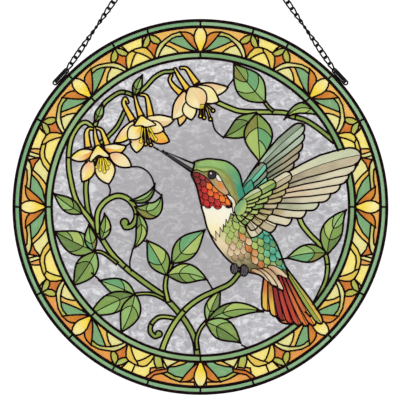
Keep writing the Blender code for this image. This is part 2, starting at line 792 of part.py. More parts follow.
def main():
    for obj in list(bpy.data.objects):
        bpy.data.objects.remove(obj)
    parts = bpy.data.collections.new("stained_glass_panel")
    cutters = bpy.data.collections.new("cutters")
    for collection in (parts, cutters):
        bpy.context.scene.collection.children.link(collection)
    draw_panel()
    network, panes = lead_and_panes()
    extruded("lead_network", network, CAME_DEPTH, material("lead_network", LEAD, 0.5, 0.9), parts)
    count = {}
    for part, loops in panes:
        count[part] = count.get(part, 0) + 1
        alone = sum(part == other for other, _ in panes) == 1
        name = part if alone else f"{part}_{count[part]}"
        finish = material(name, GLASS_COLOURS[part], 0.15, transmission=0.6)
        extruded(name, loops, GLASS, finish, parts)
    make_rim(parts)
    for side, word in ((-1, "left"), (1, "right")):
        make_loop(f"loop_{word}", side, parts)
        make_chain(f"chain_{word}", side, parts, cutters)
    make_top_ring(parts)


main()
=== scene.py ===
"""The finished look of a round leaded glass panel that hangs on two chains.

Metres, +Z up. The panel stands in the XZ plane with its front towards -Y. The picture and
the border are drawn flat, as shapes that lie over each other. What shows of a shape is a
pane of glass, and a came runs along every edge between two panes.
"""

import math
import random
from dataclasses import dataclass

import bpy
import numpy as np
from mathutils import Matrix, Vector
from mathutils.geometry import delaunay_2d_cdt


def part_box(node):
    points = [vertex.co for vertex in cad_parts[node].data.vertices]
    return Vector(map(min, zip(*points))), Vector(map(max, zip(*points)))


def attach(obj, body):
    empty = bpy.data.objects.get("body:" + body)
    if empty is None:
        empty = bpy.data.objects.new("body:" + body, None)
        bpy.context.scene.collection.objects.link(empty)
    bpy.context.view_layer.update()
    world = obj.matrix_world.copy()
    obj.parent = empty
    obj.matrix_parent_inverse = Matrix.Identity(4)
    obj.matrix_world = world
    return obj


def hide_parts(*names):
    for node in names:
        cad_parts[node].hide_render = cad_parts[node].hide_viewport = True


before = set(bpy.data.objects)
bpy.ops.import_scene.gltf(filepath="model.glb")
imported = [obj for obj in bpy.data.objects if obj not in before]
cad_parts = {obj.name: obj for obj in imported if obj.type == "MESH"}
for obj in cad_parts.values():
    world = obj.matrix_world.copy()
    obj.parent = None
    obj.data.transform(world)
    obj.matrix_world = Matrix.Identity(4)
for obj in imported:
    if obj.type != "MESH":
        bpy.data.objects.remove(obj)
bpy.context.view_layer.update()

# Where the frame has the panel and its hanging parts
RIM_LOW, RIM_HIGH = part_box("rim_came")
TOP_LOW, TOP_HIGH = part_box("top_ring")
PANEL_RADIUS = (RIM_HIGH.x - RIM_LOW.x) / 2
PANEL_CENTRE = (RIM_LOW + RIM_HIGH) / 2
RIM_DEPTH = RIM_HIGH.y - RIM_LOW.y
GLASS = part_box("bird_tail")[1].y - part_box("bird_tail")[0].y
CAME_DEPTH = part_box("lead_network")[1].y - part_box("lead_network")[0].y

# The rings of the border. Its field of tiles reaches under both bands, which are drawn over it.
CLEARANCE = 0.0003
RIM_FACE = 0.0035
RIM_WEB = 0.0014
RIM_LIP = 0.0012
RIM_ROUNDING = 0.45
OUTER_BAND = 0.0072
BORDER_BAND = 0.0340
INNER_BAND = 0.0084
BORDER_REPEATS = 8
BORDER_STEP = 360 // BORDER_REPEATS
AXES = range(0, 360, BORDER_STEP)
GLASS_RADIUS = PANEL_RADIUS - RIM_WEB - CLEARANCE
OUTER_RING = PANEL_RADIUS - RIM_FACE - OUTER_BAND
MIDDLE_RING = OUTER_RING - BORDER_BAND
INNER_RING = MIDDLE_RING - INNER_BAND
FIELD_OUTER = 0.247
FIELD_INNER = 0.205
PICTURE = INNER_RING / 200

# Widths of the visible lines, the widest first, and how high each stands as a share of the came's height
RIM_CAME = 0.0042
RING_CAME = 0.0036
CAME = 0.0027
TILE_CAME = 0.0024
FEATHER = 0.0021
FINE = 0.0014
HAIR = 0.0009
DOWN = 0.0005
RISE = {
    RIM_CAME: 1.0, RING_CAME: 1.0, CAME: 0.9, TILE_CAME: 0.8, FEATHER: 0.7, FINE: 0.55, HAIR: 0.4,
    DOWN: 0.3,
}

# Limits: how far a thinned line may stray, the bends that get solder and the edges that are shaded smooth,
# and a length that counts as none
LINE_TOLERANCE = 0.00007
SHARP_BEND = math.radians(60)
SMOOTH_EDGE = math.radians(50)
TINY = 1e-9

# Hanging parts. The visible wire is thicker than the wire of the solid loops and links, and the solid
# sizes say where the first link hangs.
LOOP_LENGTH = 0.030
LOOP_WIDTH = 0.0078
LOOP_WIRE = 0.0022
LOOP_FILL = 0.42
LOOP_ANGLE = 47.0
LOOP_RADIUS = PANEL_RADIUS + CLEARANCE + LOOP_WIDTH / 2
LOOP_HALF_TURN = math.degrees((LOOP_LENGTH - LOOP_WIDTH) / 2 / LOOP_RADIUS)
LINK_COUNT = 31
LINK_PITCH = 0.0100
LINK_WIDTH = 0.0086
LINK_WIRE = 0.0023
LINK_LENGTH = LINK_PITCH + 2 * LINK_WIRE
LINK_ROUNDING = 0.92
LINK_TWIST = 90.0
FIRST_TURN = 90.0 + LINK_TWIST / 2
TURN_EACH_LINK = 21.0
SOLID_LOOP_WIRE = 0.0018
SOLID_LINK_WIRE = 0.0015
SOLID_LINK_LENGTH = 0.0113
TOE_WIDTH = 0.0020

# Colours of the glass, in bytes of red, green and blue
PALETTE = {
    "band_green": (122, 170, 108), "band_pale": (150, 190, 132), "band_mint": (128, 184, 130),
    "band_light": (154, 198, 150), "amber": (246, 192, 92), "deep_amber": (238, 158, 62),
    "pale_yellow": (254, 236, 136),
    "leaf_orange": (206, 112, 0), "leaf_gold": (222, 140, 14), "tile_green": (126, 176, 120),
    "tile_olive": (190, 190, 72), "honey": (240, 204, 78), "straw": (240, 234, 154),
    "tangerine": (222, 124, 0), "arch_yellow": (242, 220, 84), "lemon": (254, 238, 124),
    "drop_cream": (254, 242, 160), "drop_yellow": (255, 222, 34),
    "smoke": (176, 174, 177), "mist": (199, 198, 202),
    "stem_green": (132, 160, 62), "stem_lime": (170, 194, 84),
    "light": (152, 192, 108), "mid": (132, 166, 76), "olive": (136, 140, 54), "teal": (108, 172, 112),
    "lime": (178, 200, 104), "dark": (104, 136, 58),
    "petal_yellow": (255, 232, 104), "petal_peach": (250, 206, 140), "petal_cream": (254, 242, 188),
    "petal_orange": (248, 168, 54), "petal_beige": (246, 222, 166), "petal_pink": (248, 190, 142),
    "white": (252, 248, 234), "spur_gold": (252, 204, 56), "anther": (252, 226, 44),
    "bird_teal": (44, 150, 118), "bird_aqua": (112, 210, 172), "bird_green": (122, 162, 76),
    "bird_lime": (182, 202, 110), "bird_olive": (142, 138, 62), "bird_moss": (112, 106, 54),
    "rust": (178, 92, 36), "bird_orange": (222, 140, 56), "tan": (206, 170, 124), "buff": (240, 220, 180),
    "throat_dark": (98, 8, 10), "throat_red": (168, 14, 10), "throat_bright": (220, 34, 16),
    "throat_orange": (248, 128, 20),
    "tail_gold": (236, 192, 72), "tail_crimson": (150, 18, 18), "tail_red": (204, 58, 26),
    "tail_orange": (228, 122, 40), "tail_lime": (156, 172, 66),
    "wing_cream": (228, 220, 188), "wing_beige": (204, 190, 156), "wing_peach": (218, 184, 148),
    "wing_green": (208, 214, 178), "wing_shade": (158, 148, 118),
    "covert": (166, 148, 90), "covert_gold": (198, 184, 126), "covert_brown": (136, 114, 66),
    "far_grey": (140, 156, 130), "far_pale": (184, 200, 174), "far_slate": (108, 124, 102),
    "far_tan": (178, 168, 134),
    "beak_dark": (38, 32, 36), "beak_light": (170, 172, 168), "eye_black": (8, 7, 9),
}


# Lines and outlines of the drawing

def at(x, z):
    """A place in the picture, in two-hundredths of its radius from its centre."""
    return Vector((x, z)) * PICTURE


def spots(places):
    return [at(*place) for place in places]


def polar(degrees, radius):
    """A place by its angle from straight up, clockwise, and its distance from the centre."""
    angle = math.radians(degrees)
    return Vector((radius * math.sin(angle), radius * math.cos(angle)))


def smooth(points, closed=False, per_span=6):
    """A smooth line through the points."""
    count = len(points)
    line = []
    for i in range(count if closed else count - 1):
        if closed:
            a, b, c, d = (points[(i + k) % count] for k in (-1, 0, 1, 2))
        else:
            a, b, c, d = (points[min(max(i + k, 0), count - 1)] for k in (-1, 0, 1, 2))
        for step in range(per_span):
            t = step / per_span
            line.append(0.5 * (2 * b + (c - a) * t + (2 * a - 5 * b + 4 * c - d) * t ** 2
                               + (3 * b - a - 3 * c + d) * t ** 3))
    if not closed:
        line.append(points[-1].copy())
    return line


def across(direction):
    return Vector((-direction.y, direction.x)).normalized()


def bowed(start, end, bow, shares):
    """Points on a line from start to end that bows to its left by a share of its length."""
    middle = (start + end) / 2 + across(end - start) * (end - start).length * bow * 2
    return [start * (1 - t) ** 2 + middle * 2 * t * (1 - t) + end * t * t for t in shares]


def both_sides(line, half_widths):
    """The points half_widths to the left and to the right of a line."""
    left, right = [], []
    last = len(line) - 1
    for i, (point, half) in enumerate(zip(line, half_widths)):
        side = across(line[min(i + 1, last)] - line[max(i - 1, 0)]) * half
        left.append(point + side)
        right.append(point - side)
    return left, right


def tapered(line, start, end, power=1.0):
    """The two sides of a stem or a spur, whose width in the picture goes from start to end."""
    last = len(line) - 1
    return both_sides(line, [PICTURE / 2 * (start + (end - start) * (i / last) ** power)
                             for i in range(last + 1)])


def blade_sides(start, end, breadth, bow=0.0, early=0.85, point=1.1, count=24):
    """The middle line and the two edges of a leaf or a petal that is pointed at both ends."""
    shares = [i / count for i in range(count + 1)]
    line = bowed(start, end, bow, shares)
    halves = [breadth / 2 * PICTURE * math.sin(math.pi * t ** early) ** point for t in shares[:-1]] + [0.0]
    return (line, *both_sides(line, halves))


def feather_sides(root, tip, breadth, bow=0.0, end_share=0.13):
    """The shaft and the two edges of a feather, narrow at its root and round at its tip."""
    straight = [0.0, 0.2, 0.4, 0.6, 0.75]
    turns = [math.pi / 2 * i / 6 for i in range(7)]
    shares = straight + [1 - end_share * (1 - math.sin(a)) for a in turns]
    fullness = [0.35 + 0.65 * min(1.0, t / 0.6) for t in straight] + [math.cos(a) for a in turns]
    line = bowed(root, tip, bow, shares)
    return (line, *both_sides(line, [breadth / 2 * PICTURE * full for full in fullness]))


def round_feather(root, tip, breadth, end_share=0.5):
    _, left, right = feather_sides(root, tip, breadth, 0.0, end_share)
    return left + right[-2::-1]


def disc(centre, radius, count=20, squash=1.0, turn=0.0):
    spin = Matrix.Rotation(turn, 2)
    angles = [math.tau * i / count for i in range(count)]
    return [centre + spin @ Vector((radius * math.cos(a), radius * squash * math.sin(a))) for a in angles]


def ring_outline(radius, count=192):
    return [polar(360.0 * i / count, radius) for i in range(count)]


def signed_area(outline):
    return sum(a.cross(b) for a, b in zip(outline, outline[1:] + outline[:1])) / 2


# The drawing, from the bottom shape to the top one

@dataclass
class Shape:
    """One shape. Its edge is its line against others, its inner line the one against shapes of its owner."""
    group: str
    outlines: list
    near: str
    far: str
    run: list
    owner: object
    edge: float
    inner: float
    within: list


VEIN_BOW = 0.12
VEIN_SHARES = (0.2, 0.4, 0.6, 0.8)
drawing = []
scored = []


def lay(group, tints, *outlines, run=None, owner=None, edge=CAME, inner=FINE, within=None, hole=None):
    """Lays a shape over the drawing. Its tints and its grain go along its run."""
    turned = [outline if signed_area(outline) > 0 else outline[::-1] for outline in outlines]
    if hole:
        turned.append(hole if signed_area(hole) < 0 else hole[::-1])
    if run is None:
        start = outlines[0][0]
        run = [start, max(outlines[0], key=lambda place: (place - start).length)]
    near, far = (tints.split() * 2)[:2]
    drawing.append(Shape(group, turned, near, far, run, owner or len(drawing), edge, inner, within))


def score(line, width):
    """A came of its own over the glass, which parts no shapes."""
    scored.append((line, width))


def rounded(places):
    """A smooth closed outline through places of the picture."""
    return smooth(spots(places), closed=True, per_span=5)


def lay_patch(group, tints, places, **more):
    lay(group, tints, rounded(places), **more)


def lay_halves(group, line, left, right, tints, owner, cuts=(), slant=2, **more):
    """The two halves of a leaf, petal or feather. Curved veins part a half with more than one tint."""
    last = len(line) - 1
    for edge, side_tints, bow in zip((left, right), tints, (VEIN_BOW, -VEIN_BOW)):
        inner = [0] + [round(cut * last) for cut in cuts[:len(side_tints) - 1]] + [last]
        outer = [0] + [min(stop + slant, last) for stop in inner[1:-1]] + [last]
        veins = [bowed(line[i], edge[j], bow, VEIN_SHARES) for i, j in zip(inner[1:-1], outer[1:-1])]
        veins = [[], *veins, []]
        for i, tint in enumerate(side_tints):
            outline = line[inner[i]:inner[i + 1] + 1] + veins[i + 1]
            outline += edge[outer[i]:outer[i + 1] + 1][::-1] + veins[i][::-1]
            lay(group, tint, outline, run=[line[inner[i]], line[inner[i + 1]]], owner=owner, **more)


# The border, each place as degrees from its axis and a radius in millimetres. The tiles beside the panel's
# sides and its bottom differ from the regular ones. The bottom ones have their tints first.

TEARDROP = ((0, 205), (0.6, 210.5), (1.2, 216), (2.0, 224), (2.15, 231), (1.7, 237), (0.8, 242.5), (0, 247))
LEAF_INNER = ((0.4, 205), (0.8, 210.5), (2.5, 215.5), (4, 222), (5.3, 229), (6.6, 237.5))
LEAF_TOP = ((6.7, 238), (4.5, 236.8), (3.2, 234.5), (2.3, 231), (0, 231))
REGULAR = {
    "arch": ((2.3, 231), (3.2, 234.5), (4.5, 236.8), (6.7, 238), (9.5, 236), (12, 231.5), (14, 227.5),
             (15.5, 221.5), (16.6, 214), (17.2, 205)),
    "under_arch": ((5.8, 232), (8, 232.3), (9.5, 230.8), (11, 227.5), (12.5, 224), (14, 218.5),
                   (15.3, 212.5), (16.4, 205)),
    "honey": ((0.9, 205), (1.5, 210.5), (4, 212.5), (6.5, 217), (8.7, 222), (10.8, 227.6)),
    "straw": ((6.6, 205), (8, 210), (9, 214.5), (10.5, 219.5), (12.4, 223.6)),
    "leg_outer": ((17.1, 205), (17.1, 210.5), (17.7, 219), (18.7, 226.5), (20, 229.5), (22.5, 230.8)),
    "leg_inner": ((17.6, 205), (18.4, 210.5), (20, 217.5), (21.5, 223), (22.5, 225.5)),
}
SIDE = {
    "arch": ((2.3, 231), (3.2, 234.5), (4.5, 236.6), (6.8, 236.8), (9, 236.7), (12, 239.5), (13.6, 247),
             (18, 247)),
    "under_arch": ((6, 231.4), (9, 231.8), (12, 233), (14.2, 236.5), (16.6, 247)),
    "honey": ((1.6, 205), (3, 210.8), (6, 214), (9, 222), (10.9, 231.8)),
    "straw": ((6.6, 205), (8, 210), (9.5, 215), (11, 222), (12.6, 233)),
    "leg_outer": ((12.4, 205), (13, 210.5), (15, 220), (17.3, 227), (18.7, 229), (20, 229.8), (22.5, 230.8)),
    "leg_inner": ((14.4, 205), (15.5, 210.5), (17.5, 220), (19.5, 223.5), (21.5, 224.8), (22.5, 225.5)),
}
DIAMOND = ((16.7, 234.5), (15.9, 229.6), (14.5, 226.8), (15.9, 219), (17.1, 211), (17.9, 219),
           (18.8, 226.8), (17.6, 229.6))
PETAL_LEFT = ((16.6, 247), (16.3, 242.5), (14.6, 238), (13.7, 233), (13.4, 229.3), (14.5, 226.8),
              (15.9, 229.6), (16.7, 234.5))
PETAL_RIGHT = ((16.6, 247), (17.2, 242.5), (18.6, 238), (19.6, 232), (19.9, 229.3), (18.8, 226.8),
               (17.6, 229.6), (16.7, 234.5))
SIDE_TANGERINE = ((12.5, 231.8), (14.5, 231), (16.7, 227), (17.3, 226.5), (16.6, 231), (15.5, 240),
                  (14.2, 236.5))
ARCH_WEDGE = ((-4.4, 247), (4.4, 247), (3.2, 238), (2.6, 230), (-2.6, 230), (-3.2, 238))
BOTTOM = (
    ("amber deep_amber", ((1.9, 247), (1.9, 237), (6.7, 238), (10, 235), (12.5, 231.5), (13.5, 231),
                          (15.3, 234), (17.2, 247))),
    ("straw lemon", ((3, 205), (5, 222), (6.6, 232), (11.3, 227.5), (13, 222), (17.2, 205))),
    ("tile_green", ((1.2, 205), (2.5, 215.5), (4, 222), (5.3, 229), (5.8, 232), (8, 232), (11.3, 227.5),
                    (11.8, 221.5), (8.8, 218), (6, 213.5), (2.6, 205))),
    ("honey amber", ((2.6, 205), (6, 213.5), (8.8, 218), (11.8, 221.5), (8, 210.5), (6.6, 205))),
    ("tile_olive", ((2.3, 231), (3.2, 234.5), (4.5, 236.8), (6.6, 238), (9.6, 235.4), (13, 230.5),
                    (11.3, 227.5), (8.6, 231.4), (5.8, 232)), ((4, 236), (12, 229))),
    ("straw", ((11.8, 221.5), (8, 210.5), (7, 205), (15, 205), (14.3, 210.5))),
    ("lemon pale_yellow", ((13.4, 221), (15, 205), (22.5, 205), (22.5, 247), (16.6, 247), (17.2, 228))),
    ("tile_olive lime", ((15.3, 226), (16.6, 219), (17.9, 205), (15.2, 205), (14, 214), (13, 222))),
    ("tangerine leaf_orange", ((17.2, 247), (16.3, 241), (15.3, 235), (13.3, 231.3), (11.3, 227.5),
                               (11.3, 222.8), (13.5, 226), (15.5, 229.5), (17, 236), (18.6, 247))),
)


def round_axis(axis, places, side=1):
    """The places of the border to the right of an axis, or mirrored to its left."""
    return [polar(axis + side * turn, radius / 1000) for turn, radius in places]


def draw_border_half(axis, side, kind):
    """The tiles between a teardrop and the next arch."""
    def tile(tints, places, run=None):
        run = run and round_axis(axis, run, side)
        lay("border_field", tints, round_axis(axis, places, side), run=run, edge=TILE_CAME)

    def under(line, foot=205):
        return tuple(line) + ((line[-1][0], foot), (line[0][0], foot))

    def past(line, turn):
        return tuple(place for place in line if place[0] > turn) + ((17, 205),)

    if kind == "bottom":
        for tints, *places in BOTTOM:
            tile(tints, *places)
    else:
        lines = REGULAR if kind == "regular" else SIDE
        arch, under_arch = lines["arch"], lines["under_arch"]
        tile("tile_olive straw", under(arch), arch)
        tile("tile_green", under(((1, 232),) + under_arch))
        tile("honey amber", lines["honey"] + past(under_arch, 10.9))
        tile("straw", lines["straw"] + past(under_arch, 12.5))
    tile("leaf_orange leaf_gold", LEAF_INNER + LEAF_TOP + ((0, 205),), ((1, 210), (5, 236)))
    if kind == "side":
        tile("tangerine leaf_orange", SIDE_TANGERINE)
    if kind == "regular":
        tile("tangerine leaf_orange", DIAMOND)
        tile("tile_olive", PETAL_LEFT)
        tile("lime tile_olive", PETAL_RIGHT)


def half_kind(axis):
    return {90: "side", 270: "side", 180: "bottom"}.get(axis, "regular")


def draw_border():
    field = ring_outline(FIELD_OUTER)
    lay("border_field", "amber deep_amber", field, hole=ring_outline(FIELD_INNER), edge=TILE_CAME)
    for axis in AXES:
        wedge = round_axis(axis + BORDER_STEP / 2, ARCH_WEDGE)
        lay("border_field", "pale_yellow lemon", wedge, edge=TILE_CAME)
        for side in (-1, 1):
            draw_border_half(axis, side, half_kind(axis))
    for axis in AXES:
        after = (axis + BORDER_STEP) % 360
        for line, tints in (("leg_outer", "arch_yellow honey"), ("leg_inner", "lemon pale_yellow")):
            here, there = ((SIDE if half_kind(a) == "side" else REGULAR)[line] for a in (axis, after))
            outline = round_axis(axis, here) + round_axis(axis + BORDER_STEP, reversed(there), -1)
            lay("border_field", tints, outline, edge=TILE_CAME)
        score(round_axis(axis, ((22.4, 225.5), (21.3, 230.5))), TILE_CAME)
    for axis in AXES:
        outline = round_axis(axis, TEARDROP) + round_axis(axis, TEARDROP[-2:0:-1], -1)
        lay("border_teardrop", "drop_cream drop_yellow", outline, edge=TILE_CAME,
            run=round_axis(axis, ((0, 243), (0, 212))))


def draw_bands():
    """The two narrow rings of glass that hold the border, and their joints."""
    for group, tints, outer, inner, edge in (
        ("inner_band", "band_green band_pale", MIDDLE_RING, INNER_RING, RING_CAME),
        ("outer_band", "band_light band_mint", GLASS_RADIUS, OUTER_RING, RIM_CAME),
    ):
        hole = ring_outline(inner)
        lay(group, tints, ring_outline(outer), hole=hole, run=hole, edge=edge)
    for axis in AXES:
        score([polar(axis, INNER_RING), polar(axis, MIDDLE_RING)], CAME)
        for turn in (0,) if half_kind(axis) == "side" else (-16.7, 0, 16.7):
            score([polar(axis + turn, OUTER_RING), polar(axis + turn, GLASS_RADIUS)], CAME)


# Each vine has stems: a route, the width at its start and its end, the radius of its bulb and its joints.
# Then it has leaves: where each one joins its stem, its tip, its breadth, how far it bows, and the tints
# of its left and its right side from the stem to the tip.

VINES = (
    ("inner_vine", (
        (((-142, 66), (-153, 35), (-153, 9), (-149, -12), (-141, -28)), 6, 6, 0, ()),
    ), ()),
    ("flower_vine", (
        (((-152, 60), (-140, 80), (-127, 92), (-112, 108), (-101, 130)), 5.5, 5, 0, ()),
        (((-143, 106), (-132, 135), (-120, 147), (-108, 154), (-98, 153), (-88, 149)), 5.5, 5, 0, (0.75,)),
        (((-90, 149), (-75, 160), (-62, 174), (-50, 181), (-40, 182), (-32, 184)), 5.5, 5, 0, ()),
    ), (
        ((-88, 149), (-78, 177), 12, 0.05, "dark mid", "mid light"),
        ((-142, 114), (-132, 140), 11, -0.05, "dark mid", "mid light"),
    )),
    ("main_vine", (
        (((-143, 105), (-152, 113), (-160, 112), (-168, 103), (-174, 90), (-177, 70), (-176, 45), (-167, 9),
          (-150, -15), (-136, -37), (-119, -63), (-98, -84), (-76, -101), (-50, -120), (-30, -141),
          (-16, -160), (-7, -180), (-4, -201)), 5.5, 7.5, 0, (0.3, 0.64)),
        (((-137, -36), (-139, -20), (-137, -5), (-127, 8), (-112, 15), (-98, 11), (-88, -1), (-86, -14),
          (-92, -25), (-101, -27), (-102, -21)), 6.5, 7, 5.5, (0.66,)),
        (((-31, -151), (-45, -148), (-57, -149), (-66, -158), (-67, -168), (-61, -174), (-56, -171)),
         4.5, 6.5, 4.6, (0.5,)),
        (((-43, -128), (-47, -110), (-46, -96), (-42, -84), (-36, -73)), 6, 4, 0, ()),
        (((-143, -60), (-133, -61), (-122, -68), (-112, -76)), 3.8, 4, 0, ()),
        (((-89, -118), (-75, -116.5), (-62, -118), (-49, -124)), 3.8, 4, 0, ()),
        (((9, -153), (0, -164), (-5, -178), (-4, -192)), 4, 5, 0, ()),
    ), (
        ((-159, -9), (-197, 18), 19, 0.03, "mid light", "dark mid"),
        ((-141, -60), (-196, -33), 31, 0.02, "mid dark", "light lime mid"),
        ((-141, -60), (-171, -106), 29, 0.03, "light mid", "mid dark"),
        ((-143, -60), (-150, -24), 16, 0.04, "teal light", "olive mid"),
        ((-134, -45), (-129, -9), 15, -0.10, "dark mid", "light lime"),
        ((-88, -118), (-136, -99), 23, -0.02, "mid light", "light teal"),
        ((-89, -118), (-151, -147), 27, -0.03, "mid light", "dark mid"),
        ((-88, -117), (-107, -169), 26, 0.05, "light mid", "mid light"),
        ((-46, -92), (-72, -45), 28, -0.03, "mid teal", "mid lime"),
        ((-38, -76), (6, -31), 30, 0.02, "mid teal", "mid lime"),
        ((-45, -92), (9, -98), 26, 0.10, "lime light", "dark mid light"),
        ((9, -154), (27, -111), 18, 0.03, "light lime", "mid dark"),
        ((9, -154), (84, -141), 20, 0.12, "dark lime", "light mid"),
        ((7, -155), (54, -183), 28, 0.06, "light mid", "mid dark"),
        ((-94, 9), (-61, 31), 10, -0.22, "light", "dark"),
        ((-88, 0), (-52, 16), 22, -0.34, "mid light", "olive mid"),
        ((-85, -8), (-91, -57), 15, 0.18, "light lime", "dark mid"),
    )),
    ("perch_vine", (
        (((-53, -201), (-50, -188), (-42, -169), (-31, -151), (-17, -135), (1, -122), (22, -112), (40, -103),
          (53, -88)), 7.5, 6, 0, (0.45,)),
    ), ()),
    ("upper_vine", (
        (((18, 143), (40, 133), (60, 128), (110, 127), (122, 122), (140, 117), (155, 108), (168, 98),
          (180, 88)), 6, 6, 0, (0.55,)),
        (((86, 142), (92, 134), (98, 129)), 4, 4, 0, ()),
    ), (
        ((87, 141), (45, 193), 38, 0.03, "mid light olive", "light teal mid"),
        ((75, 127), (31, 94), 27, 0.08, "light mid", "mid dark"),
        ((76, 126), (80, 60), 38, 0.0, "mid teal light", "olive lime"),
        ((164, 122), (113, 118), 15, -0.26, "light lime", "dark mid"),
    )),
    ("right_vine", (
        (((132, -11), (137, -24), (148, -38), (160, -50), (168, -63), (171, -80), (169, -97), (163, -112),
          (153, -132)), 6.5, 5, 0, (0.6,)),
    ), (
        ((170, -62), (116, -69), 24, -0.05, "olive teal", "mid light"),
        ((171, -64), (196, -4), 28, 0.10, "mid lime light", "dark mid light"),
    )),
)

# Cames that part the plain ground between the vines
GROUND_JOINTS = (
    ((36, 161), (44, 171)), ((16, 116), (20, 103), (31, 93)), ((-62, 80), (-57, 77)), ((-100, 82), (-93, 87)),
    ((-93, 54), (-82, 53.5), (-73, 49), (-66, 41), (-62, 30)), ((-60, 22), (-53, 16)),
    ((-124, 31), (-121, 22), (-123, 15)), ((-91, -57), (-95, -75), (-93, -86)), ((-146, -89), (-136, -98)),
    ((9, -98), (16, -110)), ((56, -186), (64, -190)), ((76, -139), (92, -140)), ((116, -69), (106, -71)),
    ((80, 59), (78, 56)), ((137, 109), (141, 113)), ((-75, -46), (-72, -46)),
)


def draw_vines():
    """The stems and the leaves. A tint changes at each vein that crosses a leaf's half."""
    for group, stems, leaves in VINES:
        for route, start, end, bulb, joints in stems:
            line = smooth(spots(route))
            left, right = tapered(line, start, end)
            outlines = [left + right[::-1]]
            if bulb:
                outlines.append(disc(line[-1], bulb * PICTURE))
            lay(group, "stem_lime stem_green", *outlines, run=line)
            for share in joints:
                cut = round(share * (len(line) - 1))
                score([left[cut], right[cut]], CAME)
        for base, tip, breadth, bow, *tints in leaves:
            line, left, right = blade_sides(at(*base), at(*tip), breadth, bow)
            shades = [side.split() for side in tints]
            lay_halves(group, line, left, right, shades, f"leaf {base} {tip}", (0.30, 0.56), 6)


# Each flower: the routes of its spurs from the knob to the mouth, its petals from the back to the front,
# its stamens and its hood. A petal has its base, its tip, its breadth, how far it bows and the tints of
# its sides.
FLOWERS = (
    ((((-145, 105), (-150, 105), (-153, 98), (-151, 80)), ((-142, 106), (-141, 94), (-137, 80)),
      ((-139, 106), (-133, 103), (-129, 94), (-125, 82))),
     (((-145, 76), (-175, 66), 16, 0.06, "petal_orange petal_cream", "petal_cream petal_yellow"),
      ((-130, 82), (-100, 82), 15, -0.15, "petal_cream", "petal_orange petal_yellow"),
      ((-123, 71), (-93, 54), 18, 0.02, "petal_pink petal_cream", "petal_peach petal_cream"),
      ((-146, 64), (-159, 34), 18, 0.04, "petal_peach petal_yellow", "petal_pink petal_cream"),
      ((-131, 68), (-123, 31), 27, -0.03, "petal_yellow petal_cream", "petal_yellow petal_cream")),
     ((-133, 67), ((-140, 54), (-135, 50), (-129, 47.5), (-125, 52), (-123.5, 58))),
     ((-138, 83), (-131, 78), (-123, 70), (-123, 66.5), (-131, 67), (-137, 69), (-142, 65), (-147, 60.5),
      (-149.5, 64), (-145, 74))),
    ((((-98, 141), (-101, 146), (-103, 139), (-97, 127), (-91, 116)), ((-88, 149), (-85, 136), (-80, 122)),
      ((-80, 151), (-73, 149), (-70, 140), (-67, 122))),
     (((-90, 116), (-116, 87), 16, 0.10, "petal_peach petal_yellow", "petal_cream petal_peach"),
      ((-72, 121), (-35, 119), 17, -0.13, "petal_cream", "petal_pink petal_beige"),
      ((-84, 100), (-86, 73), 19, 0.0, "petal_peach petal_yellow", "petal_orange petal_cream"),
      ((-70, 104), (-42, 88), 19, -0.04, "petal_orange spur_gold", "spur_gold petal_orange"),
      ((-79, 110), (-97, 91), 20, 0.0, "spur_gold petal_cream", "petal_yellow petal_cream"),
      ((-74, 111), (-49, 103), 17, 0.0, "petal_yellow petal_cream", "spur_gold petal_cream")),
     ((-76, 108), ((-80, 88), (-73.5, 84.5), (-66.5, 83.5), (-60, 91))),
     ((-80, 123), (-72, 119), (-60, 111), (-66, 108.5), (-74, 107), (-80, 109), (-89, 109), (-87, 114))),
    ((((-39, 177), (-41, 170), (-35, 161), (-26, 153)), ((-34, 185), (-29, 176), (-17, 158)),
      ((-26, 187), (-19, 186), (-13, 178), (-5, 166))),
     (((-6, 164), (37, 161), 18, -0.11, "petal_pink petal_beige", "petal_peach petal_cream"),
      ((-4, 163), (25, 142), 22, -0.06, "petal_cream drop_cream", "drop_cream petal_cream"),
      ((-21, 140), (-28, 109), 13, 0.02, "spur_gold petal_peach", "petal_orange petal_yellow"),
      ((-22, 156), (-38, 118), 20, 0.10, "petal_beige petal_cream", "petal_peach petal_beige"),
      ((-17, 143), (-12, 117), 19, 0.0, "drop_cream petal_cream", "petal_cream"),
      ((-15, 161), (3, 131), 29, 0.02, "petal_beige petal_peach", "petal_beige petal_cream")),
     ((2, 138), ((0, 122), (5, 120), (13.5, 118), (17, 129.5))),
     ()),
)
SPUR_WIDTHS = (3.6, 9.0)
STAMEN_HALF = 1.4
STAMEN_SPREAD = 0.4
KNOB = 2.5


def draw_flower(name, spurs, petals, stamens, hood):
    """Three spurs from the stem, petals round the mouth, a hood over them and stamens under it."""
    for number, spur in enumerate(spurs):
        line = smooth(spots(spur))
        left, right = tapered(line, *SPUR_WIDTHS, 1.5)
        knob = disc(line[0], SPUR_WIDTHS[0] * 0.58 * PICTURE, 14)
        lay(name, "petal_yellow spur_gold", left + right[::-1], knob, run=line, edge=FEATHER,
            owner=f"{name} spur {number}")
    for base, tip, breadth, bow, *tints in petals:
        line, left, right = blade_sides(at(*base), at(*tip), breadth, bow, 0.95, 0.75)
        tints = [(tint,) for tint in tints]
        lay_halves(name, line, left, right, tints, f"{name} {tip}", edge=FEATHER, inner=0.0)
    mouth, ends = stamens
    for end in ends:
        knob, start = at(*end), at(*mouth)
        start.x += (knob.x - start.x) * STAMEN_SPREAD
        line = [start, knob]
        left, right = both_sides(line, [STAMEN_HALF * PICTURE] * 2)
        lay(name, "anther", left + right[::-1], disc(knob, KNOB * PICTURE, 12), run=line, edge=HAIR)
    if hood:
        run = [at(*hood[0]), (at(*hood[3]) + at(*hood[-3])) / 2]
        lay(name, "petal_yellow petal_cream", rounded(hood), run=run, edge=FEATHER)


# The bird

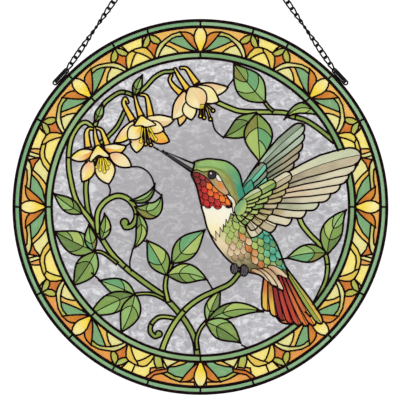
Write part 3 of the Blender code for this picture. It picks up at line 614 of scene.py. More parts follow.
BODY = (
    (-11, 55), (5, 58), (20, 59), (34, 54), (44, 43), (50, 22), (56, 4), (78, -16), (98, -42), (109, -66),
    (118, -95), (104, -92), (112, -112), (96, -105), (80, -92), (62, -87), (46, -78), (34, -68), (20, -50),
    (10, -30), (5, -10), (1, 8), (-5, 28), (-12, 46),
)
BREAST = ((21, -45), (14, -37), (9, -28), (5, -12), (2, 4), (20, 6), (40, 6), (47, 0), (46, -4))
BREAST_FRINGE = (
    (43.5, -11), (41, -9), (37, -21.5), (34.5, -17), (33.5, -27), (31, -24), (30, -33.5), (26.5, -28),
    (26, -40), (20.5, -33),
)
BELLY = ((46, -2), (52, -12), (64, -34), (62, -52), (48, -60), (34, -50), (26, -38), (34, -22))
THROAT = (
    (-12, 46), (-5, 27), (1, 3), (5, 1.5), (8.5, -1.6), (13, -1.6), (16, 1.8), (20, -2), (24, -3.4), (28, -1),
    (29.5, 2.8), (33.5, 1), (38, -0.8), (42, 2), (35, 14), (24, 24), (9, 41),
)
CROWN = (
    (-12, 50), (-9, 58), (5, 62), (20, 62), (36, 57), (48, 45), (54, 20), (60, 6), (50, 2), (45, 8), (38, 20),
    (33, 28), (28, 38), (22, 46), (15, 49), (5, 47), (-5, 50),
)
CROWN_MIDDLE = (
    (-12, 52), (-9, 60), (5, 64), (20, 64), (38, 58), (50, 45), (56, 20), (62, 6), (52, 3), (46, 16),
    (41, 30), (33, 43), (22, 50), (10, 52),
)
CROWN_EDGE = (
    (-4, 56), (5, 64), (20, 64), (38, 60), (52, 46), (58, 22), (62, 8), (54, 5), (49, 20), (44, 35), (37, 46),
    (26, 52), (12, 55),
)
CHEEK = (
    (-12, 46), (-5, 50), (5, 47), (15, 49), (22, 46), (28, 38), (33, 28), (38, 20), (36, 15), (28, 19),
    (20, 26), (10, 38), (-3, 46),
)
CHEEK_BLUSH = ((24, 34), (30, 30), (36, 21), (35, 17), (28, 21), (23, 27))
EYE_PATCH = ((21, 44), (25, 42), (29, 36), (27, 34), (22, 37))
CRESCENT = ((35, 16), (42, 14), (47, 7), (48, -4), (45, -12), (43, -2), (42, 6))
SHOULDER = ((47, 8), (52, 17), (60, 29), (68, 36), (72, 26), (70, 14), (62, 6), (54, 2))
WRIST = ((46, -1), (52, 7), (60, 11), (63, 3), (60, -7), (53, -12), (47, -9))
UNDER_TAIL = ((114, -84), (152, -146), (128, -157), (102, -148), (92, -84))
VENT = (
    ((90, -80), (120, -97), 9), ((84, -82), (113, -113), 10), ((76, -84), (104, -107), 9),
    ((68, -84), (94, -102), 8),
)
EYE = (15.5, 43)
FEET = ((45.5, -83, 6.6), (58.5, -85.5, 7.4))
THROAT_EDGE = ((9, 41), (42, 4))
BACK_EDGE = ((56, 4), (118, -95))

# Fans of feathers. Each has the ends of its line of roots, the curve of its tips, its feathers' breadths and
# bows at both ends, their number, and the tints of each feather's two halves, which start anew when they end.
FAR_WING = (
    (((70, 44), (74, 16)), ((139, 110), (142, 76), (104, 34)), (17, 15), (0.03, 0.0), 7, (
        ("far_pale far_grey", "far_slate far_pale"), ("far_grey far_pale", "far_grey far_pale"),
        ("far_slate far_pale", "far_slate far_tan"), ("far_grey far_tan", "far_slate far_tan"),
        ("far_tan far_pale", "far_grey far_tan"), ("covert far_tan", "far_tan"),
        ("far_tan wing_beige", "covert far_tan"))),
    (((52, 18), (66, 8)), ((87, 58), (90, 42), (86, 20)), (13, 11), (0.0, 0.0), 5, (
        ("bird_teal far_grey", "bird_teal bird_aqua"), ("bird_teal far_slate", "bird_teal far_grey"))),
)
TAIL = (
    (((112, -80), (90, -78)), ((163, -157), (130, -168), (90, -140)), (11, 15), (0.0, 0.0), 8, (
        ("tail_lime tail_gold", "tail_lime"), ("tail_orange tail_gold", "tail_crimson tail_orange"),
        ("tail_red tail_orange", "tail_crimson tail_orange"),
        ("tail_crimson tail_orange", "tail_crimson tail_red"),
        ("tail_crimson", "throat_dark tail_red"), ("tail_crimson tail_orange", "tail_crimson"),
        ("throat_dark tail_red", "tail_crimson tail_gold"),
        ("tail_crimson tail_orange", "tail_red tail_gold"))),
)
NEAR_WING = (
    (((92, 24), (62, -12)), ((216, 70), (188, 8), (78, -38)), (25, 20), (0.05, -0.02), 10, (
        ("wing_cream wing_green", "wing_shade wing_beige"),
        ("wing_peach wing_cream", "wing_shade wing_cream"),
        ("wing_cream wing_peach", "wing_peach wing_cream"),
        ("wing_shade wing_green", "wing_peach wing_cream"),
        ("wing_beige wing_cream", "wing_shade wing_cream"),
        ("wing_green wing_cream", "wing_shade wing_green"),
        ("wing_beige wing_cream", "covert wing_cream"),
        ("wing_shade wing_green", "wing_beige wing_cream"),
        ("wing_peach wing_cream", "covert wing_beige"),
        ("wing_shade wing_beige", "covert wing_cream"))),
    (((76, 14), (58, -8)), ((122, 44), (110, 0), (74, -30)), (14, 12), (0.02, 0.0), 9, (
        ("wing_beige wing_cream", "covert wing_beige"), ("covert wing_beige", "covert_brown covert_gold"),
        ("covert_brown covert_gold", "covert covert_gold"),
        ("covert covert_gold", "covert_brown covert_gold"))),
    (((60, 8), (50, -8)), ((101, 33), (88, 2), (64, -22)), (13, 11), (0.02, 0.0), 7, (
        ("wing_green bird_lime", "bird_lime bird_green"), ("bird_olive bird_lime", "bird_green bird_lime"),
        ("bird_lime covert_gold", "bird_olive bird_lime"))),
    (((52, 5), (47, -6)), ((82, 22), (74, 2), (58, -17)), (12, 10), (0.02, 0.0), 6, (
        ("bird_lime wing_green", "bird_green bird_lime"), ("bird_green bird_lime", "bird_lime"))),
)


def lay_fans(group, fans):
    """Fans of feathers, each fan over the one before and its leading feather on top."""
    for roots, tips, breadths, bows, count, tints in fans:
        roots, tips = spots(roots), spots(tips)
        for i in reversed(range(count)):
            t = i / (count - 1)
            root = roots[0] * (1 - t) + roots[1] * t
            tip = tips[0] * (1 - t) ** 2 + tips[1] * 2 * t * (1 - t) + tips[2] * t * t
            breadth = breadths[0] * (1 - t) + breadths[1] * t
            line, left, right = feather_sides(root, tip, breadth, bows[0] * (1 - t) + bows[1] * t)
            halves = [(side,) for side in tints[i % len(tints)]]
            owner = f"{group} {count} feather {i}"
            lay_halves(group, line, left, right, halves, owner, edge=FEATHER, inner=HAIR)


def lay_scales(group, start, end, half_width, rows, breadth, tints, within, seed, edge=FINE):
    """Small round feathers in staggered rows from start to end, the first row on top.

    Their tints come in order along the rows, or from a function of the place.
    """
    chance = random.Random(seed)
    flow = (end - start).normalized()
    side = across(flow)
    reach = breadth * PICTURE
    count = math.ceil(half_width * PICTURE / reach)
    for row in reversed(range(rows)):
        middle = start + (end - start) * (row + 0.5) / rows
        for k in range(-count, count + 1):
            centre = middle + side * reach * (k + 0.5 * (row % 2)) * 0.96
            if callable(tints):
                tint = tints(centre / PICTURE)
            else:
                step = round(row / rows * len(tints) + chance.uniform(-0.7, 0.4))
                tint = tints[min(len(tints) - 1, max(0, step))]
            root = centre - flow * reach
            lay(group, tint, round_feather(root, centre + flow * reach * 0.6, breadth), edge=edge, inner=edge,
                run=[root, centre + flow * reach], within=within, owner=f"{group} {seed}")


def draw_far_wing():
    lay_fans("bird_far_wing", FAR_WING)
    lay_patch("bird_far_wing", "bird_teal", SHOULDER, edge=FINE, run=spots(((50, 10), (70, 30))))


def draw_tail():
    lay_patch("bird_tail", "tail_crimson tail_orange", UNDER_TAIL, edge=FINE,
              run=spots(((104, -84), (128, -150))))
    lay_fans("bird_tail", TAIL)


def depth_beside(edge, place):
    """How far a place lies to one side of an edge between two places of the picture."""
    start, end = (Vector(corner) for corner in edge)
    return (start - place).dot(across(end - start))


def back_tint(place):
    """Teal and aqua along the edge of the back, lime and olive beside the wing, orange on the flank."""
    depth = depth_beside(BACK_EDGE, place)
    start, end = (Vector(corner) for corner in BACK_EDGE)
    down = int((place - start).dot((end - start).normalized()) / 10)
    if depth > 19 and place.y < -38:
        return ("bird_orange tan", "bird_orange buff", "bird_orange rust")[down % 3]
    if depth < 6:
        return ("bird_teal bird_green", "bird_aqua bird_teal", "bird_teal bird_aqua")[down % 3]
    if depth < 13:
        return ("bird_green bird_lime", "bird_aqua bird_green", "bird_lime bird_green")[down % 3]
    return ("bird_lime bird_olive", "bird_lime bird_green", "lime bird_lime")[down % 3]


def draw_body():
    body = rounded(BODY)
    lay("bird_body", "buff bird_moss", body, owner="body", run=spots(((26, -46), (66, -88))))
    lay_patch("bird_body", "bird_lime buff", BELLY, within=body, owner="body", inner=0.0,
              run=spots(((50, -8), (46, -60))))
    belly = ("bird_lime", "bird_lime", "lime bird_lime", "bird_lime tan", "bird_lime tan", "tan buff",
             "tan bird_moss")
    lay_scales("bird_body", at(49, -8), at(60, -70), 16, 8, 9.0, belly, body, 1, DOWN)
    lay_scales("bird_body", at(54, 2), at(104, -90), 18, 12, 9.4, back_tint, body, 2, HAIR)
    for root, tip, breadth in VENT:
        line, left, right = blade_sides(at(*root), at(*tip), breadth * 1.3, 0.0, 0.7, 0.8)
        lay_halves("bird_body", line, left, right, (("tan buff",), ("rust buff",)), f"vent {tip}",
                   within=body, edge=FINE, inner=0.0)
    breast = smooth(spots(BREAST)) + spots(BREAST_FRINGE)
    lay("bird_breast", "white petal_cream", breast, owner="breast", edge=FINE,
        run=spots(((30, 2), (20, -44))))


def throat_tint(place):
    """Orange along the cheek, dark under the beak and bright red below."""
    depth = depth_beside(THROAT_EDGE, place)
    if depth < 8:
        return "throat_orange" if place.y < 30 else "throat_dark throat_red"
    if depth < 13 and place.y < 28:
        return "throat_bright throat_orange"
    return "throat_dark throat_red" if place.y > 26 else "throat_red throat_bright"


def draw_head():
    throat = rounded(THROAT)
    lay("bird_throat", "throat_red throat_dark", throat, owner="throat")
    lay_scales("bird_throat", at(-8, 48), at(30, -4), 30, 8, 8.6, throat_tint, throat, 4, HAIR)
    for tints, places, inner, run in (
        ("bird_lime bird_olive", CROWN, FINE, None),
        ("bird_green bird_olive", CROWN_MIDDLE, 0.0, None),
        ("light bird_teal", CROWN_EDGE, 0.0, spots(((10, 60), (56, 10)))),
        ("bird_olive tan", CHEEK, FINE, None),
        ("bird_orange tan", CHEEK_BLUSH, 0.0, None),
        ("white", EYE_PATCH, HAIR, None),
    ):
        lay_patch("bird_body", tints, places, owner="head", edge=FINE, inner=inner, run=run)
    lay_patch("bird_body", "white buff", CRESCENT, edge=FINE)
    lay("bird_body", "eye_black", disc(at(*EYE), 5.6 * PICTURE), edge=FINE)
    lay("bird_body", "white", disc(at(EYE[0] - 1.4, EYE[1] + 2.0), 1.2 * PICTURE, 12), edge=0.0)
    for tint, places in (("beak_dark", ((-58, 77.5), (-8, 58), (-11, 46))),
                         ("beak_light", ((-50, 75.5), (-9, 58), (-10, 51)))):
        lay("bird_beak", tint, spots(places), owner="beak", inner=HAIR)


def draw_near_wing():
    lay_fans("bird_near_wing", NEAR_WING)
    lay_patch("bird_near_wing", "tile_green bird_lime", WRIST, edge=HAIR, run=spots(((50, 1), (62, -4))))


def draw_panel():
    lay("background", "mist smoke", ring_outline(INNER_RING + CAME))
    draw_vines()
    draw_border()
    draw_bands()
    for line in GROUND_JOINTS:
        score(smooth(spots(line)), TILE_CAME)
    draw_far_wing()
    draw_tail()
    draw_body()
    draw_head()
    draw_near_wing()
    for number, flower in enumerate(FLOWERS, 1):
        draw_flower(f"flower_{number}", *flower)
    for x, z, height in FEET:
        lay("bird_body", "eye_black", disc(at(x, z), height * PICTURE, 16, 0.72, math.pi / 2))


# Panes and lines from the drawing

def winding(points, outlines):
    """How many times the outlines go round each point, looked at only inside each outline's box."""
    turns = np.zeros(len(points))
    for outline in outlines:
        starts = np.array(outline)
        boxed = (points >= starts.min(axis=0)) & (points <= starts.max(axis=0))
        near = np.flatnonzero(np.all(boxed, axis=1))
        x, z = points[near].T[:, :, None]
        ends = np.roll(starts, -1, axis=0)
        (ax, az), (bx, bz) = starts.T, ends.T
        side = (bx - ax) * (z - az) - (bz - az) * (x - ax)
        upward = (az <= z) & (bz > z) & (side > 0)
        downward = (az > z) & (bz <= z) & (side < 0)
        turns[near] += upward.sum(axis=1) - downward.sum(axis=1)
    return turns


def cut_by(outlines):
    """Triangles that no line of the outlines crosses, as points, corners and middles."""
    points, edges = [], []
    for outline in outlines:
        first = len(points)
        points += outline
        edges += [(first + i, first + (i + 1) % len(outline)) for i in range(len(outline))]
    points, _, triangles, _, _, _ = delaunay_2d_cdt(points, edges, [], 0, 1e-7, False)
    triangles = np.array([tuple(t) for t in triangles])
    places = np.array([tuple(p) for p in points])
    return places, triangles, places[triangles].mean(axis=1)


def neighbours(triangles):
    """The triangles on each side of every edge."""
    sides = {}
    for number, corners in enumerate(triangles.tolist()):
        for a, b in zip(corners, corners[1:] + corners[:1]):
            sides.setdefault((min(a, b), max(a, b)), []).append(number)
    return sides


def top_shapes(middles):
    """The number of the topmost shape at each point, or -1 outside the drawing."""
    top = np.full(len(middles), -1)
    for number, shape in enumerate(drawing):
        inside = winding(middles, shape.outlines) != 0
        if shape.within:
            inside &= winding(middles, [shape.within]) != 0
        top[inside] = number
    return top


def chains(edges):
    """The edges joined into lines that run from one meeting point to the next."""
    links = {}
    for a, b in edges:
        links.setdefault(a, set()).add(b)
        links.setdefault(b, set()).add(a)
    found = []

    def walk(start, step):
        line = [start, step]
        links[start].discard(step)
        links[step].discard(start)
        while step not in meeting and links[step]:
            following = links[step].pop()
            links[following].discard(step)
            line.append(following)
            step = following
        return line

    meeting = {point for point, ends in links.items() if len(ends) != 2}
    for start in sorted(meeting):
        while links[start]:
            found.append(walk(start, min(links[start])))
    for start in sorted(links):
        if links[start]:
            found.append(walk(start, min(links[start])))
    return found


def thinned(line, tolerance):
    """The line with only the points that it needs to stay within tolerance."""
    if len(line) < 3:
        return line
    start, end = line[0], line[-1]
    chord = end - start
    if chord.length < TINY:
        offs = [(p - start).length for p in line]
    else:
        side = across(chord)
        offs = [abs((p - start).dot(side)) for p in line]
    far = max(range(len(line)), key=offs.__getitem__)
    if offs[far] < tolerance:
        return [start, end]
    return thinned(line[:far + 1], tolerance)[:-1] + thinned(line[far:], tolerance)


def line_width(first, second):
    """The width of the came between two shapes, which the upper one sets."""
    lower, upper = sorted((first, second))
    if lower < 0:
        return 0.0
    under, over = drawing[lower], drawing[upper]
    if under.owner == over.owner:
        return over.inner
    if under.group.split("_")[0] != over.group.split("_")[0]:
        return max(CAME, over.edge)
    return over.edge


def panes_and_lines():
    """The places of all corners, each pane as its shape's number and its triangles, and the cames."""
    places, triangles, middles = cut_by([outline for shape in drawing for outline in shape.outlines])
    top = top_shapes(middles)
    by_width = {}
    beside = {number: [] for number in range(len(triangles))}
    for edge, sides in neighbours(triangles).items():
        if len(sides) < 2:
            continue
        a, b = sides
        if top[a] == top[b]:
            beside[a].append(b)
            beside[b].append(a)
        else:
            by_width.setdefault(line_width(top[a], top[b]), []).append(edge)
    panes = []
    seen = set()
    for start in range(len(triangles)):
        if start in seen or top[start] < 0:
            continue
        members = [start]
        seen.add(start)
        for number in members:
            for other in beside[number]:
                if other not in seen:
                    seen.add(other)
                    members.append(other)
        panes.append((top[start], triangles[members]))
    lines = []
    for width, edges in by_width.items():
        if width:
            for chain in chains(edges):
                lines.append((thinned([Vector(places[i]) for i in chain], LINE_TOLERANCE), width))
    return places, panes, lines + scored


def along(run, places):
    """How far each place lies beside a line and along it, and that as a share of its length."""
    points = np.array(run)
    steps = np.diff(points, axis=0)
    lengths = np.linalg.norm(steps, axis=1)
    keep = lengths > TINY
    starts, steps, lengths = points[:-1][keep], steps[keep], lengths[keep]
    before = np.concatenate([[0.0], np.cumsum(lengths)[:-1]])
    offsets = places[:, None, :] - starts
    share = np.clip((offsets * steps).sum(axis=2) / lengths ** 2, 0, 1)
    apart = np.linalg.norm(offsets - share[:, :, None] * steps, axis=2)
    nearest = apart.argmin(axis=1)
    rows = np.arange(len(places))
    step, offset = steps[nearest], offsets[rows, nearest]
    sideways = step[:, 0] * offset[:, 1] - step[:, 1] * offset[:, 0]
    length = before[nearest] + share[rows, nearest] * lengths[nearest]
    return sideways / lengths[nearest], length, length / lengths.sum()


# Meshes

# Each pane's grain starts elsewhere in the noise
GRAIN_SHIFT = 0.37


def linear(name):
    """A palette colour as the light that the shader works with."""
    return [((byte / 255 + 0.055) / 1.055) ** 2.4 for byte in PALETTE[name]] + [1.0]


def made(name, corners, faces, finish, slot, replaced, smooth_faces=True):
    """An object from corners in the panel's own frame, dressed and tied to the frame's parts."""
    mesh = bpy.data.meshes.new(name)
    mesh.from_pydata(corners, [], faces)
    mesh.transform(Matrix.Translation(PANEL_CENTRE))
    mesh.materials.append(finish)
    obj = bpy.data.objects.new(name, mesh)
    bpy.context.scene.collection.objects.link(obj)
    if smooth_faces:
        mesh.shade_smooth()
        mesh.set_sharp_from_angle(angle=SMOOTH_EDGE)
    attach(obj, "root")
    if replaced:
        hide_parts(*replaced)
    return obj


def glass_piece(group, panes, places, finish, slot):
    """Every pane of one group as a flat slab, with its tints and grain on its corners."""
    corners, faces = [], []
    near, far, share, grain = [], [], [], []
    half = GLASS / 2
    for number, (shape_number, triangles) in panes:
        shape = drawing[shape_number]
        used, flat = np.unique(triangles, return_inverse=True)
        flat = flat.reshape(triangles.shape)
        here = places[used]
        first = len(corners)
        count = len(used)
        for depth in (-half, half):
            corners += [(x, depth, z) for x, z in here.tolist()]
        edges = set()
        for a, b, c in flat.tolist():
            faces.append((first + a, first + b, first + c))
            faces.append((first + count + c, first + count + b, first + count + a))
            edges.update(((a, b), (b, c), (c, a)))
        for a, b in edges:
            if (b, a) not in edges:
                faces.append((first + a, first + count + a, first + count + b, first + b))
        sideways, length, part = along(shape.run, here)
        near += linear(shape.near) * count * 2
        far += linear(shape.far) * count * 2
        share += part.tolist() * 2
        shift = number * GRAIN_SHIFT
        grain += [value for pair in zip(sideways.tolist(), length.tolist()) for value in (*pair, shift)] * 2
    nodes = [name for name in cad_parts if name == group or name.rsplit("_", 1)[0] == group]
    obj = made(f"{group}_glass", corners, faces, finish, slot, nodes, smooth_faces=False)
    for name, kind, key, values in (
        ("near_tint", "FLOAT_COLOR", "color", near),
        ("share", "FLOAT", "value", share),
        ("far_tint", "FLOAT_COLOR", "color", far),
        ("grain", "FLOAT_VECTOR", "vector", grain),
    ):
        obj.data.attributes.new(name, kind, "POINT").data.foreach_set(key, values)
    return obj


def standing(place):
    """A place or direction of the flat drawing in the upright panel."""
    return Vector((place.x, 0.0, place.y))


def swept_faces(spans, rows, count):
    """The faces between one row of count corners and the next, for some spans of a line or round a ring."""
    faces = []
    for i in range(spans):
        here, there = i * count, (i + 1) % rows * count
        for k in range(count):
            after = (k + 1) % count
            faces.append((here + k, here + after, there + after, there + k))
    return faces


def bead(line, width, rise):
    """Corners and faces of a came along a line, rounded in front of and behind the glass."""
    closed = len(line) > 3 and (line[0] - line[-1]).length < TINY
    last = len(line) - 1
    half = GLASS / 2
    turns = [math.pi * i / 4 for i in range(5)]
    section = [(math.cos(a) * width / 2, -half - rise * math.sin(a)) for a in turns]
    section += [(-off, -depth) for off, depth in section]
    corners = []
    for i in range(last if closed else last + 1):
        point = line[i]
        sides = []
        if i > 0 or closed:
            sides.append(across(point - line[i - 1 if i else last - 1]))
        if i < last or closed:
            sides.append(across(line[i + 1] - point))
        side = (sides[0] + sides[-1]).normalized()
        side /= max(0.5, side.dot(sides[0]))
        corners += [(point.x + side.x * off, depth, point.y + side.y * off) for off, depth in section]
    count = len(section)
    faces = swept_faces(last, last if closed else last + 1, count)
    if not closed:
        faces.append(tuple(range(count))[::-1])
        faces.append(tuple(range(last * count, last * count + count)))
    return corners, faces


def solder(place, width, rise):
    """Corners and faces of a low drop of solder where cames meet, in front and behind."""
    half = GLASS / 2
    profile = [(0.0, -half - rise), (0.36, -half - rise * 0.93), (0.60, -half - rise * 0.45),
               (0.60, half + rise * 0.45), (0.36, half + rise * 0.93), (0.0, half + rise)]
    sides = 10
    corners = []
    for share, depth in profile[1:-1]:
        for angle in (math.tau * k / sides for k in range(sides)):
            reach = width * share
            corners.append((place.x + reach * math.cos(angle), depth, place.y + reach * math.sin(angle)))
    front, back = len(corners), len(corners) + 1
    corners += [(place.x, profile[0][1], place.y), (place.x, profile[-1][1], place.y)]
    faces = []
    for k in range(sides):
        after = (k + 1) % sides
        faces.append((front, k, after))
        faces.append((back, 3 * sides + after, 3 * sides + k))
        for row in range(3):
            here, there = row * sides, (row + 1) * sides
            faces.append((here + k, there + k, there + after, here + after))
    return corners, faces


def gathered(shells):
    """Several shells as the corners and faces of one mesh."""
    corners, faces = [], []
    for shell_corners, shell_faces in shells:
        first = len(corners)
        corners += shell_corners
        faces += [tuple(first + k for k in face) for face in shell_faces]
    return corners, faces


def lead_pieces(lines, finish):
    """The cames of the border and of the picture, and the solder at their joints."""
    most = CAME_DEPTH / 2 - GLASS / 2
    border_start = INNER_RING - 0.001
    border, picture = [], []
    joints = {}
    for line, width in lines:
        pieces = border if line[len(line) // 2].length > border_start else picture
        pieces.append(bead(line, width, most * RISE[width]))
        bends = [b for a, b, c in zip(line, line[1:], line[2:]) if (b - a).angle(c - b, 0.0) > SHARP_BEND]
        for point in [line[0], line[-1]] + bends:
            key = (round(point.x, 5), round(point.y, 5))
            joints[key] = max(width, joints.get(key, 0.0))
    drops = [solder(Vector(key), width, most * RISE[width]) for key, width in joints.items()]
    for name, shells, replaced in (("lead_picture", picture, ["lead_network"]),
                                   ("lead_border", border, ["lead_network"]), ("lead_joints", drops, [])):
        made(name, *gathered(shells), finish, "lead", replaced)


def round_section(count, radius):
    turns = (math.tau * k / count for k in range(count))
    return [(radius * math.cos(turn), radius * math.sin(turn)) for turn in turns]


def tube(route, outwards, section):
    """Corners and faces of a section swept round a closed route. Each place has its own outward direction."""
    corners = []
    for i, (point, out) in enumerate(zip(route, outwards)):
        forward = (route[(i + 1) % len(route)] - route[i - 1]).normalized()
        out = (out - forward * out.dot(forward)).normalized()
        third = forward.cross(out)
        corners += [tuple(point + out * a + third * b) for a, b in section]
    return corners, swept_faces(len(route), len(route), len(section))


def rim_piece(finish):
    """The U-shaped came round the edge, with rounded lips."""
    half = RIM_DEPTH / 2
    slot = half - RIM_LIP
    floor = PANEL_RADIUS - RIM_WEB
    inner = PANEL_RADIUS - RIM_CAME
    bend = RIM_FACE * RIM_ROUNDING
    profile = []
    for sign in (1, -1):
        arm = [(PANEL_RADIUS - bend + bend * math.cos(a), sign * (half - bend + bend * math.sin(a)))
               for a in (math.pi / 8 * k for k in range(5))]
        arm += [(inner + RIM_LIP / 2, sign * half), (inner, sign * (half - RIM_LIP / 2)),
                (inner, sign * slot), (floor, sign * slot)]
        profile += arm if sign > 0 else arm[::-1]
    steps = 288
    corners = [(place.x * radius, depth, place.y * radius)
               for place in ring_outline(1.0, steps) for radius, depth in profile]
    return made("rim", corners, swept_faces(steps, steps, len(profile)), finish, "lead", ["rim_came"])


def loop_piece(name, side, finish):
    """An oval ring of two turns of wire that lies along the rim."""
    bend = (LOOP_WIDTH - LOOP_WIRE) / 2
    route, outwards = [], []
    for end in (-1, 1):
        middle = polar(side * (LOOP_ANGLE + end * LOOP_HALF_TURN), LOOP_RADIUS)
        for step in range(13):
            swing = math.radians(15 * step - 90)
            along_rim = end * (LOOP_HALF_TURN + math.degrees(bend * math.cos(swing) / LOOP_RADIUS))
            place = polar(side * (LOOP_ANGLE + along_rim), LOOP_RADIUS + end * bend * math.sin(swing))
            route.append(standing(place))
            outwards.append(standing(place - middle))
    shells = []
    for turn in (-1, 1):
        shift = Vector((0.0, turn * LOOP_WIRE / 2, 0.0))
        shells.append(tube([place + shift for place in route], outwards, round_section(12, LOOP_WIRE / 2)))
    spine = [polar(side * (LOOP_ANGLE + LOOP_HALF_TURN * (step / 6 - 1)), LOOP_RADIUS) for step in range(13)]
    shells.append(bead(spine, LOOP_WIDTH * LOOP_FILL, LOOP_WIRE / 2))
    return made(name, *gathered(shells), finish, "black_metal", [name])


def chain_piece(name, side, finish):
    """One leg of curb chain: each link is round wire, twisted by a quarter turn."""
    ring_height = (TOP_LOW.z + TOP_HIGH.z) / 2 - PANEL_CENTRE.z
    eye = standing(polar(side * (LOOP_ANGLE - LOOP_HALF_TURN), LOOP_RADIUS))
    direction = (Vector((0.0, 0.0, ring_height)) - eye).normalized()
    loop_bend = (LOOP_WIDTH - SOLID_LOOP_WIRE) / 2
    wires = (SOLID_LOOP_WIRE + SOLID_LINK_WIRE) / 2
    first = eye + direction * (loop_bend - wires - CLEARANCE + SOLID_LINK_LENGTH / 2)
    sideways = Vector((direction.z, 0.0, -direction.x))
    reach = (LINK_WIDTH - LINK_WIRE) / 2
    bend = reach * LINK_ROUNDING
    straight = (LINK_LENGTH - LINK_WIRE) / 2 - bend
    outline = [(end * (straight + bend * math.sin(swing)), end * reach * math.cos(swing))
               for end in (1, -1) for swing in (math.pi * step / 8 for step in range(9))]
    shells = []
    for i in range(LINK_COUNT):
        middle = first + direction * LINK_PITCH * i
        turn = side * (FIRST_TURN + TURN_EACH_LINK * i)
        route, outwards = [], []
        for up, out in outline:
            twist = math.radians(turn + side * LINK_TWIST * up / LINK_LENGTH)
            plane = Matrix.Rotation(twist, 3, direction) @ sideways
            route.append(middle + direction * up + plane * out)
            outwards.append(direction * up * 0.7 + plane * out)
        shells.append(tube(route, outwards, round_section(8, LINK_WIRE / 2)))
    return made(name, *gathered(shells), finish, "black_metal", [name])


def top_ring_piece(finish):
    radius = (TOP_HIGH.x - TOP_LOW.x) / 2
    wire = (TOP_HIGH.y - TOP_LOW.y) / 2
    centre = (TOP_LOW + TOP_HIGH) / 2 - PANEL_CENTRE
    outwards = [standing(place) for place in ring_outline(1.0, 64)]
    ring = tube([centre + out * (radius - wire) for out in outwards], outwards, round_section(14, wire))
    return made("hanging_ring", *ring, finish, "black_metal", ["top_ring"])


def feet_piece(finish):
    """Two ridged claws that close over the stem."""
    shells = []
    for x, z, height in FEET:
        for toe in range(3):
            centre = at(x + (toe - 1) * 2.9, z)
            reach = at(0.8, height * (1.0 - 0.22 * abs(toe - 1)))
            line = bowed(centre + reach, centre - reach, 0.10, [i / 8 for i in range(9)])
            shells.append(bead(line, TOE_WIDTH, CAME_DEPTH / 2 - GLASS / 2))
    return made("bird_feet", *gathered(shells), finish, "lead", [])


# Finishes

class Value:
    """A socket of a finish's node tree. Sums and products with it add Math nodes."""

    def __init__(self, finish, socket):
        self.finish = finish
        self.socket = socket

    def math(self, operation, first, second):
        return self.finish.node("ShaderNodeMath", {"operation": operation}, {0: first, 1: second})

    def __add__(self, other):
        return self.math("ADD", self, other)

    def __radd__(self, other):
        return self.math("ADD", other, self)

    def __sub__(self, other):
        return self.math("SUBTRACT", self, other)

    def __rsub__(self, other):
        return self.math("SUBTRACT", other, self)

    def __mul__(self, other):
        return self.math("MULTIPLY", self, other)

    def __rmul__(self, other):
        return self.math("MULTIPLY", other, self)


class Finish:
    """A material with one Principled shader, built from nodes."""

    def __init__(self, name, **plain):
        self.material = bpy.data.materials.new(name)
        self.material.use_nodes = True
        self.tree = self.material.node_tree
        self.shader = self.tree.nodes["Principled BSDF"]
        for key, value in plain.items():
            self.socket(key).default_value = value

    def socket(self, key):
        """The shader's socket that a word such as base_color names."""
        return self.shader.inputs[key.replace("_", " ").title().replace("Ior", "IOR")]

    def node(self, kind, settings, inputs, output=0):
        """Adds a node of this type: its settings first, then its inputs, and returns one of its outputs."""
        added = self.tree.nodes.new(kind)
        for key, value in settings.items():
            setattr(added, key, value)
        for key, value in inputs.items():
            if isinstance(value, Value):
                self.tree.links.new(value.socket, added.inputs[key])
            else:
                added.inputs[key].default_value = value
        return Value(self, added.outputs[output])

    def attribute(self, name, output):
        return self.node("ShaderNodeAttribute", {"attribute_name": name}, {}, output)

    def scaled(self, vector, scale):
        return self.node("ShaderNodeVectorMath", {"operation": "MULTIPLY"}, {0: vector, 1: scale})

    def place(self):
        return self.node("ShaderNodeTexCoord", {}, {}, 3)

    def noise(self, vector, stretch=None, detail=2.0, roughness=0.5, output=0):
        """Noise over a vector, which a stretch makes finer along each axis."""
        if stretch:
            vector = self.scaled(vector, stretch)
        return self.node("ShaderNodeTexNoise", {}, {
            "Vector": vector, "Scale": 1.0, "Detail": detail, "Roughness": roughness}, output)

    def ramp(self, value, low, high):
        """Nought below low and one above high, smooth between."""
        return self.node("ShaderNodeMapRange", {"interpolation_type": "SMOOTHSTEP"},
                         {"Value": value, "From Min": low, "From Max": high})

    def mix(self, factor, first, second, blend="MIX"):
        """Two colours mixed."""
        return self.node("ShaderNodeMix", {"data_type": "RGBA", "blend_type": blend},
                         {0: factor, 6: first, 7: second}, 2)

    def set(self, **links):
        for key, value in links.items():
            self.tree.links.new(value.socket, self.socket(key))

    def bump(self, height, strength, distance):
        return self.node("ShaderNodeBump", {}, {"Strength": strength, "Distance": distance, "Height": height})


